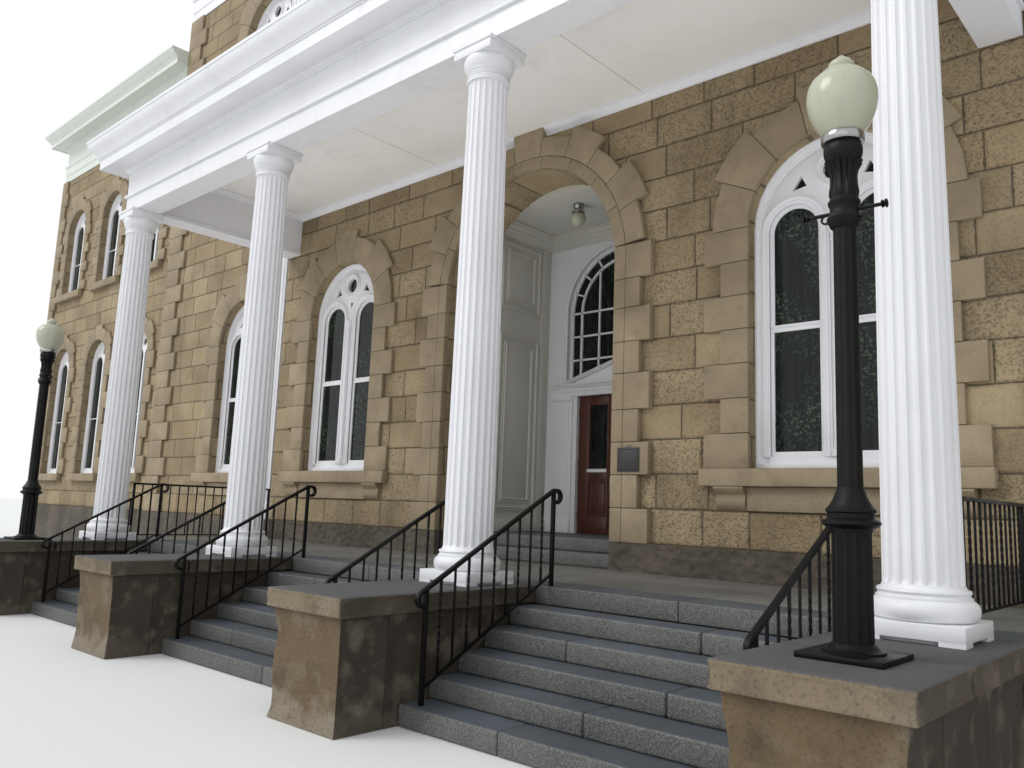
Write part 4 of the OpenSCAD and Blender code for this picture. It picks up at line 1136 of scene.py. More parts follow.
@dataclass
class FrontSteps(Part):
    """The granite flights, the porch paving and the stone piers between the flights."""

    pitch: float = 3.81
    pier: float = 0.85
    over: float = 0.052
    cap: float = 0.145
    rise: float = 0.16
    going: float = 0.295
    count: int = 6
    nosing: float = 0.406
    front: float = -1.64
    ground: float = -0.96
    wall: float = 2.68
    joint: float = 0.004

    def build(self) -> None:
        """Builds every tread, the paving and the piers."""
        treads = [self.flight(b * self.pitch, b) for b in (-1, 0, 1)]
        self.dress(Bench.join(treads), "granite_treads", "granite", ("front_steps",))
        rows = (self.nosing, 0.86, 1.78, self.wall)
        self.dress(self.paving(rows[:2], 0.158), "porch_edge_stones", "granite", ("porch_floor",))
        self.dress(self.paving(rows[1:], self.cap), "porch_paving", "paving", ("porch_floor",))
        for i in range(4):
            x = (i - 1.5) * self.pitch
            self.dress(self.pier_stones(x), f"pier_stones_{i + 1}", "pier", ("porch_base",))
            self.dress(self.cap_stones(x), f"pier_cap_{i + 1}", "cap", ("pier_caps",))
        self.dress(self.back_stones(), "porch_back_stones", "pier", ("porch_base",))

    def flight(self, x: float, bay: int) -> Piece:
        """Lays one flight, each tread of two long stones with a rounded nosing.

        Args:
            x: The middle of the flight.
            bay: The bay number, which shifts the joints.

        Returns:
            The flight.
        """
        half = (self.pitch - self.pier) / 2
        stones = []
        for i in range(1, self.count):
            y = self.nosing - self.going * (self.count - i)
            low_z, high_z = self.ground + (i - 1) * self.rise, self.ground + i * self.rise
            split = x + half * 0.42 * math.sin(2.3 * i + 1.7 * bay)
            for a, b in ((x - half, split - self.joint / 2), (split + self.joint / 2, x + half)):
                stones.append(Bench.block((a, y, low_z + 0.002), (b, self.nosing, high_z)))
        flight = Bench.join(stones)
        Bench.bevel(flight, 0.02, 4)
        return flight

    def paving(self, rows: Sequence[float], thick: float) -> Piece:
        """Lays rows of slabs across the porch, with a rounded edge.

        Args:
            rows: Where each row starts and the last one ends.
            thick: The thickness of the slabs.

        Returns:
            The joined slabs.
        """
        half = 1.5 * self.pitch + self.pier / 2 + self.over
        slabs = []
        for j, (y0, y1) in enumerate(zip(rows, rows[1:])):
            cuts = [-half, *(k * self.pitch / 2 + (0.6 if j % 2 else 0.0) for k in range(-2, 3)), half]
            for a, b in zip(cuts, cuts[1:]):
                low = (a + self.joint / 2, y0 + self.joint / 2, -thick)
                slabs.append(Bench.block(low, (b - self.joint / 2, y1 - self.joint / 2, 0.0)))
        floor = Bench.join(slabs)
        Bench.bevel(floor, 0.012, 3)
        return floor

    def pier_stones(self, x: float) -> Piece:
        """Stands the three upright stones of one pier.

        Args:
            x: The place across the front.

        Returns:
            The worn stones.
        """
        cuts = (self.front, self.front + 0.44, self.front + 1.18, self.nosing)
        stones = []
        for y0, y1 in zip(cuts, cuts[1:]):
            low = (x - self.pier / 2, y0 + self.joint / 2, self.ground)
            stones.append(Bench.block(low, (x + self.pier / 2, y1 - self.joint / 2, -self.cap - 0.001)))
        pier = Bench.join(stones)
        Bench.wear(pier, 0.055, 0.20, lambda p: min(
            (p.z - self.ground) / 0.12, (-self.cap - p.z) / 0.16,
            *(abs(p.y - cut) / 0.05 for cut in cuts[1:-1])))
        Bench.bevel(pier, 0.008, 2)
        return pier

    def cap_stones(self, x: float) -> Piece:
        """Lays the two cap stones of one pier.

        Args:
            x: The place across the front.

        Returns:
            The worn cap.
        """
        half = self.pier / 2 + self.over
        cuts = (self.front - self.over, self.front + 0.78, self.nosing - 0.002)
        stones = []
        for y0, y1 in zip(cuts, cuts[1:]):
            low = (x - half, y0 + self.joint / 2, -self.cap)
            stones.append(Bench.block(low, (x + half, y1 - self.joint / 2, 0.0)))
        cap = Bench.join(stones)
        Bench.bevel(cap, 0.018, 2)
        Bench.wear(cap, 0.022, 0.12, lambda p: min(-p.z / 0.03, (p.z + self.cap) / 0.03), 6)
        return cap

    def back_stones(self) -> Piece:
        """Builds the wall under the paving, in two courses of long stones.

        Returns:
            The joined stones.
        """
        half = 1.5 * self.pitch + self.pier / 2
        stones = []
        for j, (z0, z1) in enumerate(((self.ground, -0.55), (-0.55, -self.cap - 0.001))):
            for k in range(8):
                shift = 0.4 if j else 0.0
                a = max(-half, -half + k * half / 4 + shift - (half / 4 if j and not k else 0.0))
                b = min(half, -half + (k + 1) * half / 4 + shift)
                low = (a + self.joint, self.nosing + 0.04, z0 + self.joint)
                stones.append(Bench.block(low, (b, self.wall, z1)))
        return Bench.join(stones)


@dataclass
class Railings(Part):
    """The black iron railings beside the flights and across the ends of the porch."""

    pitch: float = 3.81
    inset: float = 1.328
    post: float = 0.032
    bar: float = 0.016
    height: float = 0.85
    top_y: float = 0.474
    low_y: float = -0.9805
    slope: float = 0.16 / 0.295
    count: int = 10
    rail: Outline = (
        (-0.016, -0.022), (0.004, -0.022), (0.012, -0.015), (0.014, 0.0), (0.012, 0.015), (0.004, 0.022),
        (-0.016, 0.022),
    )

    def build(self) -> None:
        """Builds one sloping and one level railing and copies them to their places."""
        places = [b * self.pitch + s * self.inset for b in (-1, 0, 1) for s in (-1, 1)]
        moves = [Matrix.Translation((x, 0.0, 0.0)) for x in places]
        self.repeat(self.sloping(), moves, "stair_railing", "iron", ("stair_railings",))
        level = self.level()
        for side in Side:
            rail = Bench.copy(level, Matrix.Translation((side.value * 1.5 * self.pitch, 0.0, 0.0)))
            self.dress(rail, f"guard_railing_{side.name.lower()}", "iron", ("guard_rails",))
        Bench.drop(level)

    def rail_z(self, y: float) -> float:
        """Returns the height of the handrail's middle at y."""
        return self.height - 0.014 - max(0.0, self.top_y - y) * self.slope

    def curl(self, start: Flat, heading: float, turn: float, radius: float) -> list[Flat]:
        """Draws the scroll at a handrail's end.

        Args:
            start: Where the scroll leaves the straight rail.
            heading: The way the rail runs there, in degrees.
            turn: How far it curls, in degrees; minus curls to the right.
            radius: The size of the scroll.

        Returns:
            The points of the scroll, without its start.
        """
        side = math.copysign(1.0, turn)
        centre = (start[0] - side * radius * math.sin(math.radians(heading)),
                  start[1] + side * radius * math.cos(math.radians(heading)))
        return Bench.arc(centre, radius, heading - side * 90.0, heading - side * 90.0 + turn, 14)[1:]

    def twisted(self, y: float, low: float, high: float) -> Piece:
        """Twists a square bar between two heights at y.

        Args:
            y: The place from front to back.
            low: Its foot.
            high: Its top.

        Returns:
            The bar.
        """
        rings = []
        steps = 34
        for i in range(steps + 1):
            share = i / steps
            turn = math.radians(45.0 + 720.0 * min(max((share - 0.18) / 0.64, 0.0), 1.0))
            r = self.bar * 0.75
            rings.append([(r * math.cos(turn + k * math.pi / 2), y + r * math.sin(turn + k * math.pi / 2),
                           low + (high - low) * share) for k in range(4)])
        return Bench.loft(rings)

    def plain(self, y: float, low: float, high: float, side: float) -> Piece:
        """Stands a square bar of the given side at y."""
        half = side / 2
        return Bench.block((-half, y - half, low), (half, y + half, high), 0.002)

    def sloping(self) -> Piece:
        """Builds one railing in the plane x = 0.

        Returns:
            The railing.
        """
        low_end = (self.low_y - 0.06, self.rail_z(self.low_y - 0.06))
        high_end = (self.top_y + 0.045, self.rail_z(self.top_y))
        heading = 180.0 + math.degrees(math.atan(self.slope))
        foot = self.curl(low_end, heading, 185.0, 0.056)
        head = self.curl(high_end, 0.0, -200.0, 0.056)
        path = [*foot[::-1], low_end, (self.top_y, self.rail_z(self.top_y)), high_end, *head]
        pieces = [Bench.moulding([(-a, b) for a, b in self.rail], path, Plane.SIDE, 0.0)]
        pieces.append(self.plain(self.top_y, 0.0, self.rail_z(self.top_y), self.post))
        pieces.append(self.plain(self.low_y, -0.80, self.rail_z(self.low_y), self.post))
        lift = 0.105
        low_z = lift - (self.top_y - self.low_y) * self.slope
        bar = [(0.01, -0.009), (0.01, 0.009), (-0.01, 0.009), (-0.01, -0.009)]
        pieces.append(Bench.moulding(bar, [(self.low_y, low_z), (self.top_y, lift)], Plane.SIDE, 0.0))
        for i in range(1, self.count):
            y = self.top_y - i * (self.top_y - self.low_y) / self.count
            low, high = lift - (self.top_y - y) * self.slope, self.rail_z(y) - 0.008
            pieces.append(self.twisted(y, low, high) if i % 2 else self.plain(y, low, high, self.bar))
        return Bench.join(pieces)

    def level(self) -> Piece:
        """Builds the level railing between an end column and the wall, in the plane x = 0.

        Returns:
            The railing.
        """
        y0, y1 = 0.305, 2.64
        top = self.height - 0.014
        pieces = [Bench.moulding([(-a, b) for a, b in self.rail], [(y0, top), (y1, top)], Plane.SIDE, 0.0)]
        pieces.append(Bench.block((-0.009, y0, 0.055), (0.009, y1, 0.073)))
        for y in (y0 + self.post / 2, y1 - self.post / 2):
            pieces.append(self.plain(y, 0.0, top, self.post))
        for i in range(1, 16):
            y = y0 + i * (y1 - y0) / 16
            pieces.append(self.twisted(y, 0.065, 0.83) if i % 2 else self.plain(y, 0.065, 0.83, self.bar))
        return Bench.join(pieces)


@dataclass
class Lamps(Part):
    """The two iron lamp posts on the outer piers, and the globe in the entrance."""

    x: float = 5.715
    y: float = -1.095
    collar: Outline = (
        (0.096, 0.60), (0.104, 0.62), (0.128, 0.632), (0.1395, 0.642), (0.1395, 0.656), (0.130, 0.664),
        (0.118, 0.668), (0.112, 0.676), (0.1125, 0.694), (0.120, 0.702), (0.1195, 0.716), (0.108, 0.726),
        (0.098, 0.742), (0.082, 0.770), (0.070, 0.802), (0.0625, 0.822),
    )
    neck: Outline = (
        (0.060, 2.165), (0.072, 2.176), (0.078, 2.192), (0.086, 2.204), (0.089, 2.22), (0.081, 2.236),
        (0.073, 2.25), (0.073, 2.285), (0.080, 2.296), (0.082, 2.31), (0.074, 2.325), (0.068, 2.335),
    )
    leaf_foot: float = 2.33
    bar_z: float = 2.262
    bar: Outline = ((0.06, 0.010), (0.19, 0.010))
    knob: Outline = (
        (0.188, 0.009), (0.192, 0.020), (0.200, 0.020), (0.206, 0.010), (0.212, 0.024), (0.218, 0.022),
        (0.2245, 0.001),
    )
    wire: Outline = ((-0.005, -0.005), (0.005, -0.005), (0.005, 0.005), (-0.005, 0.005))
    hang_y: float = 3.82
    hang_z: float = 4.85
    hang_r: float = 0.11
    cup: Outline = (
        (0.075, 2.52), (0.090, 2.545), (0.0985, 2.575), (0.099, 2.605), (0.092, 2.628), (0.080, 2.638),
    )
    ring: Outline = (
        (0.088, 2.628), (0.106, 2.634), (0.1105, 2.642), (0.1105, 2.676), (0.106, 2.684), (0.098, 2.688),
    )
    glass: Outline = (
        (0.098, 2.684), (0.116, 2.704), (0.138, 2.736), (0.158, 2.776), (0.173, 2.820), (0.1815, 2.870),
        (0.1805, 2.915), (0.171, 2.958), (0.153, 2.992), (0.130, 3.014), (0.114, 3.024), (0.108, 3.030),
        (0.106, 3.037), (0.088, 3.040), (0.066, 3.044), (0.059, 3.052), (0.062, 3.064), (0.0665, 3.078),
        (0.064, 3.092), (0.054, 3.104), (0.040, 3.112), (0.031, 3.118), (0.025, 3.128), (0.012, 3.137),
        (0.0, 3.139),
    )

    def build(self) -> None:
        """Builds both lamps, and the globe under the entrance ceiling."""
        centre = (0.0, self.y)
        kinds = ((self.post(), "lamp_post", "iron", ("lamp_posts",)),
                 (Bench.turned(self.ring, centre, 40), "lamp_collar", "chrome", ()),
                 (Bench.turned(self.glass, centre, 48), "lamp_globe", "globe", ("lamp_globes",)))
        for piece, name, finish, nodes in kinds:
            for side in Side:
                twin = Bench.copy(piece, Matrix.Translation((side.value * self.x, 0.0, 0.0)))
                self.dress(twin, f"{name}_{side.name.lower()}", finish, nodes)
            Bench.drop(piece)
        self.dress(self.ceiling_globe(), "entrance_globe", "globe", ("lamp_globes",))
        holder = ((0.075, 4.925), (0.095, 4.93), (0.098, 4.955), (0.070, 4.965), (0.060, 5.0), (0.075, 5.02),
                  (0.080, 5.06), (0.078, 5.08))
        self.dress(Bench.turned(holder, (0.0, self.hang_y), 32), "entrance_globe_holder", "chrome")

    def post(self) -> Piece:
        """Builds one iron post with its foot, channelled shafts, crossbar and leafed head.

        Returns:
            The post.
        """
        centre = (0.0, self.y)
        half = 0.2125
        pieces = [Bench.block((-half, self.y - half, 0.0), (half, self.y + half, 0.03), 0.005)]
        flare = ((0.150, 0.028), (0.150, 0.042), (0.128, 0.046), (0.116, 0.058), (0.100, 0.074), (0.09, 0.08))
        pieces.append(Bench.turned(flare, centre, 40))
        pieces.append(Bench.fluted([(0.05, 0.097, 0.008), (0.60, 0.0945, 0.008), (0.612, 0.0945, 0.0)],
                                   centre, 12, 0.72, 5))
        pieces.append(Bench.turned(self.collar, centre, 40))
        pieces.append(Bench.fluted([(0.81, 0.0625, 0.0), (0.83, 0.0625, 0.005), (2.15, 0.0590, 0.005),
                                    (2.17, 0.0590, 0.0)], centre, 10, 0.7, 4))
        pieces.append(Bench.turned(self.neck, centre, 32))
        pieces.append(self.leaves(centre))
        pieces.append(Bench.turned(self.cup, centre, 32))
        pieces += self.crossbar()
        return Bench.join(pieces)

    def leaves(self, centre: Flat) -> Piece:
        """Builds the bell of eight upright leaves under the globe.

        Args:
            centre: The axis in plan.

        Returns:
            The bell.
        """
        stops = [(self.leaf_foot, 0.070, 0.0), (2.36, 0.078, 0.010), (2.40, 0.072, 0.013),
                 (2.45, 0.070, 0.015),
                 (2.49, 0.078, 0.017), (2.515, 0.092, 0.020), (2.528, 0.100, 0.024), (2.532, 0.090, 0.018),
                 (2.536, 0.070, 0.0)]
        return Bench.fluted(stops, centre, 8, 0.62, 4)

    def crossbar(self) -> list[Piece]:
        """Builds the ladder bar, with a pointed knob and a small curl at each end.

        Returns:
            The pieces of the bar.
        """
        pieces = []
        for side in Side:
            s = side.value
            for sides, stops in ((10, self.bar), (12, self.knob)):
                turns = [math.tau * i / sides for i in range(sides)]
                pieces.append(Bench.loft([[(s * out, self.y + r * math.cos(t), self.bar_z + r * math.sin(t))
                                           for t in turns] for out, r in stops]))
            curl = Bench.arc((s * 0.10, self.bar_z - 0.026), 0.022, 100.0, 100.0 - s * 250.0, 12)
            pieces.append(Bench.moulding(self.wire, curl, Plane.FRONT, self.y))
        return pieces

    def ceiling_globe(self) -> Piece:
        """Turns the plain globe that hangs in the entrance.

        Returns:
            The globe.
        """
        turns = [math.radians(150.0 * i / 14 + 6.0) for i in range(15)]
        rings = [(self.hang_r * math.sin(t), self.hang_z - self.hang_r * math.cos(t)) for t in turns]
        return Bench.turned(rings, (0.0, self.hang_y), 36)


@dataclass(frozen=True)
class Spot:
    """Where a window stands in a wall, and which way it looks."""

    x: float
    y: float
    turn: float = 0.0

    def move(self, up: float = 0.0) -> Matrix:
        """Returns the move from the pattern's place, raised by up."""
        return Matrix.Translation((self.x, self.y, up)) @ Matrix.Rotation(math.radians(self.turn), 4, "Z")


PORCH_SPOTS = (Spot(-4.103, 2.77), Spot(4.103, 2.77))
MIDDLE_SPOT = Spot(0.0, 2.77)
BAY_SPOTS = (Spot(-7.97, 3.16), Spot(7.97, 3.16))
REAR_SPOTS = (*(Spot(4.2 * i, 20.16, 180.0) for i in (-2, -1, 0, 1, 2)),
              Spot(11.6, 17.205, 90.0), Spot(-11.6, 17.205, -90.0))
WING_FRONT_SPOTS = tuple(Spot(s * x, 3.25) for s in (-1, 1) for x in (13.05, 15.45, 17.85))
WING_OTHER_SPOTS = (*(Spot(s * x, 14.25, 180.0) for s in (-1, 1) for x in (13.05, 15.45, 17.85)),
                    *(Spot(s * 19.3, y, s * 90.0) for s in (-1, 1) for y in (6.59, 10.91)))


@dataclass
class LargeWindows(Part):
    """The tall windows with two arched lights, a round eye and a slim column between them."""

    half: float = 0.8765
    sill: float = 1.156
    spring: float = 3.77
    storey: float = 6.74
    back: float = 0.20
    light_x: float = 0.440
    light_half: float = 0.285
    light_foot: float = 1.285
    light_spring: float = 3.700
    rail_low: float = 2.612
    rail_high: float = 2.690
    eye_z: float = 4.285
    eye: float = 0.118
    casing: Outline = (
        (0.0, 0.0), (0.0, 0.088), (0.020, 0.090), (0.024, 0.080), (0.034, 0.078), (0.044, 0.074),
        (0.048, 0.064), (0.060, 0.062), (0.068, 0.057), (0.071, 0.048), (0.086, 0.046), (0.092, 0.040),
        (0.095, 0.030), (0.152, 0.028), (0.152, 0.0),
    )
    band: Outline = (
        (0.0, 0.0), (0.0, 0.020), (-0.012, 0.023), (-0.016, 0.031), (-0.030, 0.034), (-0.035, 0.028),
        (-0.050, 0.031), (-0.056, 0.042), (-0.070, 0.044), (-0.076, 0.030), (-0.092, 0.026), (-0.098, 0.0),
    )
    shaft: Outline = (
        (0.060, 1.285), (0.060, 1.335), (0.052, 1.345), (0.055, 1.360), (0.048, 1.375), (0.040, 1.390),
        (0.040, 3.500), (0.048, 3.510), (0.048, 3.524), (0.040, 3.532), (0.041, 3.555), (0.050, 3.590),
        (0.072, 3.628), (0.078, 3.640), (0.078, 3.668), (0.0, 3.670),
    )

    def build(self) -> None:
        """Builds one window and copies it to every place, row by row."""
        pattern = self.pattern()
        upper = Bench.copy(pattern, Matrix())
        rows = (("lower", pattern, 0.0, (*PORCH_SPOTS, *BAY_SPOTS, *REAR_SPOTS)),
                ("upper", upper, self.storey, (*PORCH_SPOTS, MIDDLE_SPOT, *BAY_SPOTS, *REAR_SPOTS)))
        for row, piece, up, spots in rows:
            moves = [spot.move(up) for spot in spots]
            self.repeat(piece, moves, f"window_{row}", "white", (f"window_frames_{row}",), 28.0)

    def pattern(self) -> Piece:
        """Builds the window in the plane y = 0, facing forward.

        Returns:
            The window.
        """
        edge = Bench.arch(self.half, self.sill, self.spring, 28)
        pieces = [Bench.trim(self.casing, edge, self.back), self.tracery()]
        for s in (-1, 1):
            light = Bench.arch(self.light_half, self.light_foot, self.light_spring, 20, s * self.light_x)
            pieces.append(Bench.trim(self.band, light, self.back - 0.035))
            pieces += self.sashes(s * self.light_x)
        ring = Bench.arc((0.0, self.eye_z), self.eye, 0.0, 360.0, 28)[:-1]
        pieces.append(Bench.trim([(-a, b) for a, b in self.band], ring, self.back - 0.035, closed=True))
        pieces.append(Bench.turned(self.shaft, (0.0, 0.135), 24))
        foot = self.sill + 0.001
        pieces.append(Bench.block((-self.half + 0.02, 0.10, foot),
                                  (self.half - 0.02, self.back, foot + 0.06), 0.004))
        return Bench.join(pieces)

    def tracery(self) -> Piece:
        """Cuts the lights, the eye and the small three-cornered holes from one board.

        Returns:
            The board.
        """
        outline = Bench.arch(0.745, self.sill + 0.05, self.spring, 28)
        board = Bench.prism(outline, Plane.FRONT, self.back - 0.045, self.back - 0.002)
        holes = [Bench.prism(Bench.arch(self.light_half, self.light_foot, self.light_spring, 20,
                                        s * self.light_x),
                             Plane.FRONT, *THROUGH) for s in (-1, 1)]
        corners = [[(s * 0.30, 4.16), (s * 0.46, 4.13), (s * 0.36, 4.28)] for s in (-1, 1)]
        eye = Bench.arc((0.0, self.eye_z), self.eye, 0.0, 360.0, 28)[:-1]
        for outline in (eye, *corners, [(-0.04, 3.99), (0.04, 3.99), (0.0, 3.88)]):
            holes.append(Bench.prism(outline, Plane.FRONT, *THROUGH))
        Bench.cut(board, holes)
        return board

    def sashes(self, x: float) -> list[Piece]:
        """Builds the sliding sashes of one light, whose middle is at x.

        Args:
            x: The middle of the light.

        Returns:
            The sashes' pieces.
        """
        half, deep = self.light_half, self.back
        stile = [(0.0, 0.0), (0.0, 0.020), (0.030, 0.020), (0.040, 0.010), (0.040, 0.0)]
        edge = Bench.arch(half, self.rail_high - 0.03, self.light_spring, 20, x)
        pieces = [Bench.trim(stile, edge, deep)]
        for s in (-1, 1):
            low = (x + s * (half + 0.02), deep - 0.026, self.light_foot - 0.03)
            pieces.append(Bench.block(low, (x + s * (half - 0.036), deep, self.rail_low + 0.02), 0.004))
        bars = ((self.light_foot - 0.03, self.light_foot + 0.055, 0.030),
                (self.rail_low, self.rail_low + 0.042, 0.030),
                (self.rail_low + 0.044, self.rail_high, 0.022))
        for low_z, high_z, out in bars:
            pieces.append(Bench.block((x - half - 0.02, deep - out, low_z), (x + half + 0.02, deep, high_z),
                                      0.004))
        return pieces


@dataclass
class WingWindows(Part):
    """The narrower round-headed windows of the wings."""

    half: float = 0.6095
    back: float = 0.20
    rows: Sequence[tuple[str, float, float]] = (("lower", 1.156, 4.037), ("upper", 6.24, 8.10))
    casing: Outline = (
        (0.0, 0.0), (0.0, 0.088), (0.020, 0.090), (0.026, 0.076), (0.040, 0.072), (0.046, 0.058),
        (0.062, 0.054), (0.068, 0.040), (0.090, 0.036), (0.094, 0.0),
    )
    bar: Outline = (
        (-0.012, 0.0), (-0.012, 0.022), (-0.005, 0.030), (0.005, 0.030), (0.012, 0.022), (0.012, 0.0),
    )

    def build(self) -> None:
        """Builds one window of each row and copies it to every place."""
        moves = [spot.move() for spot in (*WING_FRONT_SPOTS, *WING_OTHER_SPOTS)]
        for row, sill, spring in self.rows:
            self.repeat(self.pattern(sill, spring), moves, f"wing_window_{row}", "white",
                        (f"window_frames_{row}",), 28.0)

    def pattern(self, sill: float, spring: float) -> Piece:
        """Builds a two-light window with a small eye in its head.

        Args:
            sill: Height of its foot.
            spring: Height at which its head starts.

        Returns:
            The window in the plane y = 0, facing forward.
        """
        edge = Bench.arch(self.half, sill, spring, 20)
        board = Bench.prism(Bench.arch(0.53, sill + 0.02, spring, 20), Plane.FRONT, 0.150, 0.190)
        light = 0.235
        outlines = [Bench.arch(light, sill + 0.10, spring - 0.03, 12, s * 0.272) for s in (-1, 1)]
        outlines.append(Bench.arc((0.0, spring + 0.33), 0.085, 0.0, 360.0, 16)[:-1])
        holes = [Bench.prism(outline, Plane.FRONT, *THROUGH) for outline in outlines]
        Bench.cut(board, holes)
        pieces = [Bench.trim(self.casing, edge, self.back), board]
        half_way = (sill + spring) / 2
        for s in (-1, 1):
            path = [(s * 0.272 - light, half_way), (s * 0.272 + light, half_way)]
            pieces.append(Bench.trim(self.bar, path, self.back))
            low = (s * 0.272 - light, 0.165, sill + 0.09)
            pieces.append(Bench.block(low, (s * 0.272 + light, self.back, sill + 0.15), 0.004))
        pieces.append(Bench.block((-self.half + 0.01, 0.11, sill),
                                  (self.half - 0.01, self.back, sill + 0.05), 0.004))
        return Bench.join(pieces)


@dataclass
class Surrounds(Part):
    """The toothed stones round the front windows, with sills on brackets below them."""

    half: float = 0.877
    sill: float = 1.156
    spring: float = 3.77
    storey: float = 6.74
    out: float = 0.060
    joint: float = 0.006
    short: float = 0.323
    long: float = 0.523
    jamb_stones: int = 7
    head_stones: int = 7
    head_short: float = 1.30
    head_long: float = 1.42
    wing_half: float = 0.61
    wing_rows: Outline = ((1.156, 4.037), (6.24, 8.10))
    wing_short: float = 0.22
    wing_long: float = 0.39
    wing_head_short: float = 0.918
    sill_half: float = 1.425
    sill_low: float = 0.970
    sill_out: float = 0.130
    bracket_x: float = 1.085
    bracket: Outline = (
        (0.0, 0.968), (-0.112, 0.968), (-0.118, 0.950), (-0.104, 0.925), (-0.075, 0.905), (-0.052, 0.880),
        (-0.050, 0.845), (-0.060, 0.820), (-0.055, 0.780), (-0.030, 0.735), (0.0, 0.715),
    )

    def build(self) -> None:
        """Builds one surround and one sill and copies them."""
        patterns = (self.ring(self.half, (self.sill, self.spring), (self.short, self.long),
                              (self.head_short, self.head_long)),
                    self.sill_stones(True), self.sill_stones(False))
        fronts = ((*PORCH_SPOTS, *BAY_SPOTS), (*PORCH_SPOTS, MIDDLE_SPOT, *BAY_SPOTS))
        for row, front in enumerate(fronts, 1):
            ring, sill, plain = (Bench.copy(piece, Matrix()) for piece in patterns)
            front_moves = [spot.move((row - 1) * self.storey) for spot in front]
            rear_moves = [spot.move((row - 1) * self.storey) for spot in REAR_SPOTS]
            self.repeat(ring, front_moves, f"window_stones_{row}", "dressed", ("stone_surrounds",))
            self.repeat(sill, front_moves, f"window_sill_{row}", "dressed", ("window_sills",))
            self.repeat(plain, rear_moves, f"rear_sill_{row}", "dressed", ("window_sills",))
        for piece in patterns:
            Bench.drop(piece)
        self.wing_stones()

    def wing_stones(self) -> None:
        """Lays a sill under every wing window, and toothed stones round the front ones."""
        front = [spot.move() for spot in WING_FRONT_SPOTS]
        other = [spot.move() for spot in WING_OTHER_SPOTS]
        for row, (z, spring) in enumerate(self.wing_rows, 1):
            sill = Bench.block((-0.86, -self.sill_out, z - 0.186), (0.86, 0.0, z - 0.001), 0.012)
            self.repeat(sill, [*front, *other], f"wing_sill_{row}", "dressed", ("window_sills",))
            ring = self.ring(self.wing_half, (z, spring), (self.wing_short, self.wing_long),
                             (self.wing_head_short, self.wing_half + self.wing_long))
            self.repeat(ring, front, f"wing_window_stones_{row}", "dressed", ("stone_surrounds",))

    def ring(self, half: float, heights: Flat, widths: Flat, radii: Flat) -> Piece:
        """Builds the stones round one window in the plane y = 0.

        Args:
            half: Half the width of the opening.
            heights: Where its jambs and its round head start.
            widths: Widths of the short and the long jamb stones.
            radii: Outer radii of the short and the long head stones.

        Returns:
            The joined stones.
        """
        stones = []
        sill, spring = heights
        step = (spring - sill) / self.jamb_stones
        gap = self.joint / 2
        for s in (-1, 1):
            for i in range(self.jamb_stones):
                outer = s * (half + widths[(i + 1) % 2])
                low = (s * half, -self.out, sill + i * step + gap)
                stones.append(Bench.block(low, (outer, 0.0, sill + (i + 1) * step - gap)))
        for i in range(self.head_stones):
            stones.append(self.wedge((0.0, spring), half, radii[i % 2], 180.0 * i / self.head_stones,
                                     180.0 * (i + 1) / self.head_stones, self.out))
        ring = Bench.join(stones)
        Bench.bevel(ring, 0.008)
        return ring

    def wedge(self, centre: Flat, inner: float, outer: float, start: float, end: float,
              out: float) -> Piece:
        """Cuts one arch stone.

        Args:
            centre: The arch's centre.
            inner: The arch's inner radius.
            outer: The stone's outer radius.
            start: The angle of its lower joint in degrees.
            end: The angle of its upper joint.
            out: How far it stands out from the wall.

        Returns:
            The stone in the plane y = 0.
        """
        gap_in = math.degrees(self.joint / 2 / inner)
        gap_out = math.degrees(self.joint / 2 / outer)
        outline = [*Bench.arc(centre, inner, start + gap_in, end - gap_in, 4),
                   *Bench.arc(centre, outer, end - gap_out, start + gap_out, 2)]
        return Bench.prism(outline, Plane.FRONT, -out, 0.0)

    def sill_stones(self, brackets: bool) -> Piece:
        """Builds one sill, with or without its two brackets and the panel between them.

        Args:
            brackets: True for a sill with brackets.

        Returns:
            The sill.
        """
        low = (-self.sill_half, -self.sill_out, self.sill_low)
        pieces = [Bench.block(low, (self.sill_half, 0.0, self.sill - 0.001), 0.014)]
        if brackets:
            for s in (-1, 1):
                x = s * self.bracket_x
                pieces.append(Bench.prism(self.bracket, Plane.SIDE, x - 0.17, x + 0.17))
            pieces.append(Bench.block((-0.91, -0.035, 0.72), (0.91, 0.0, 0.966), 0.006))
        return Bench.join(pieces)


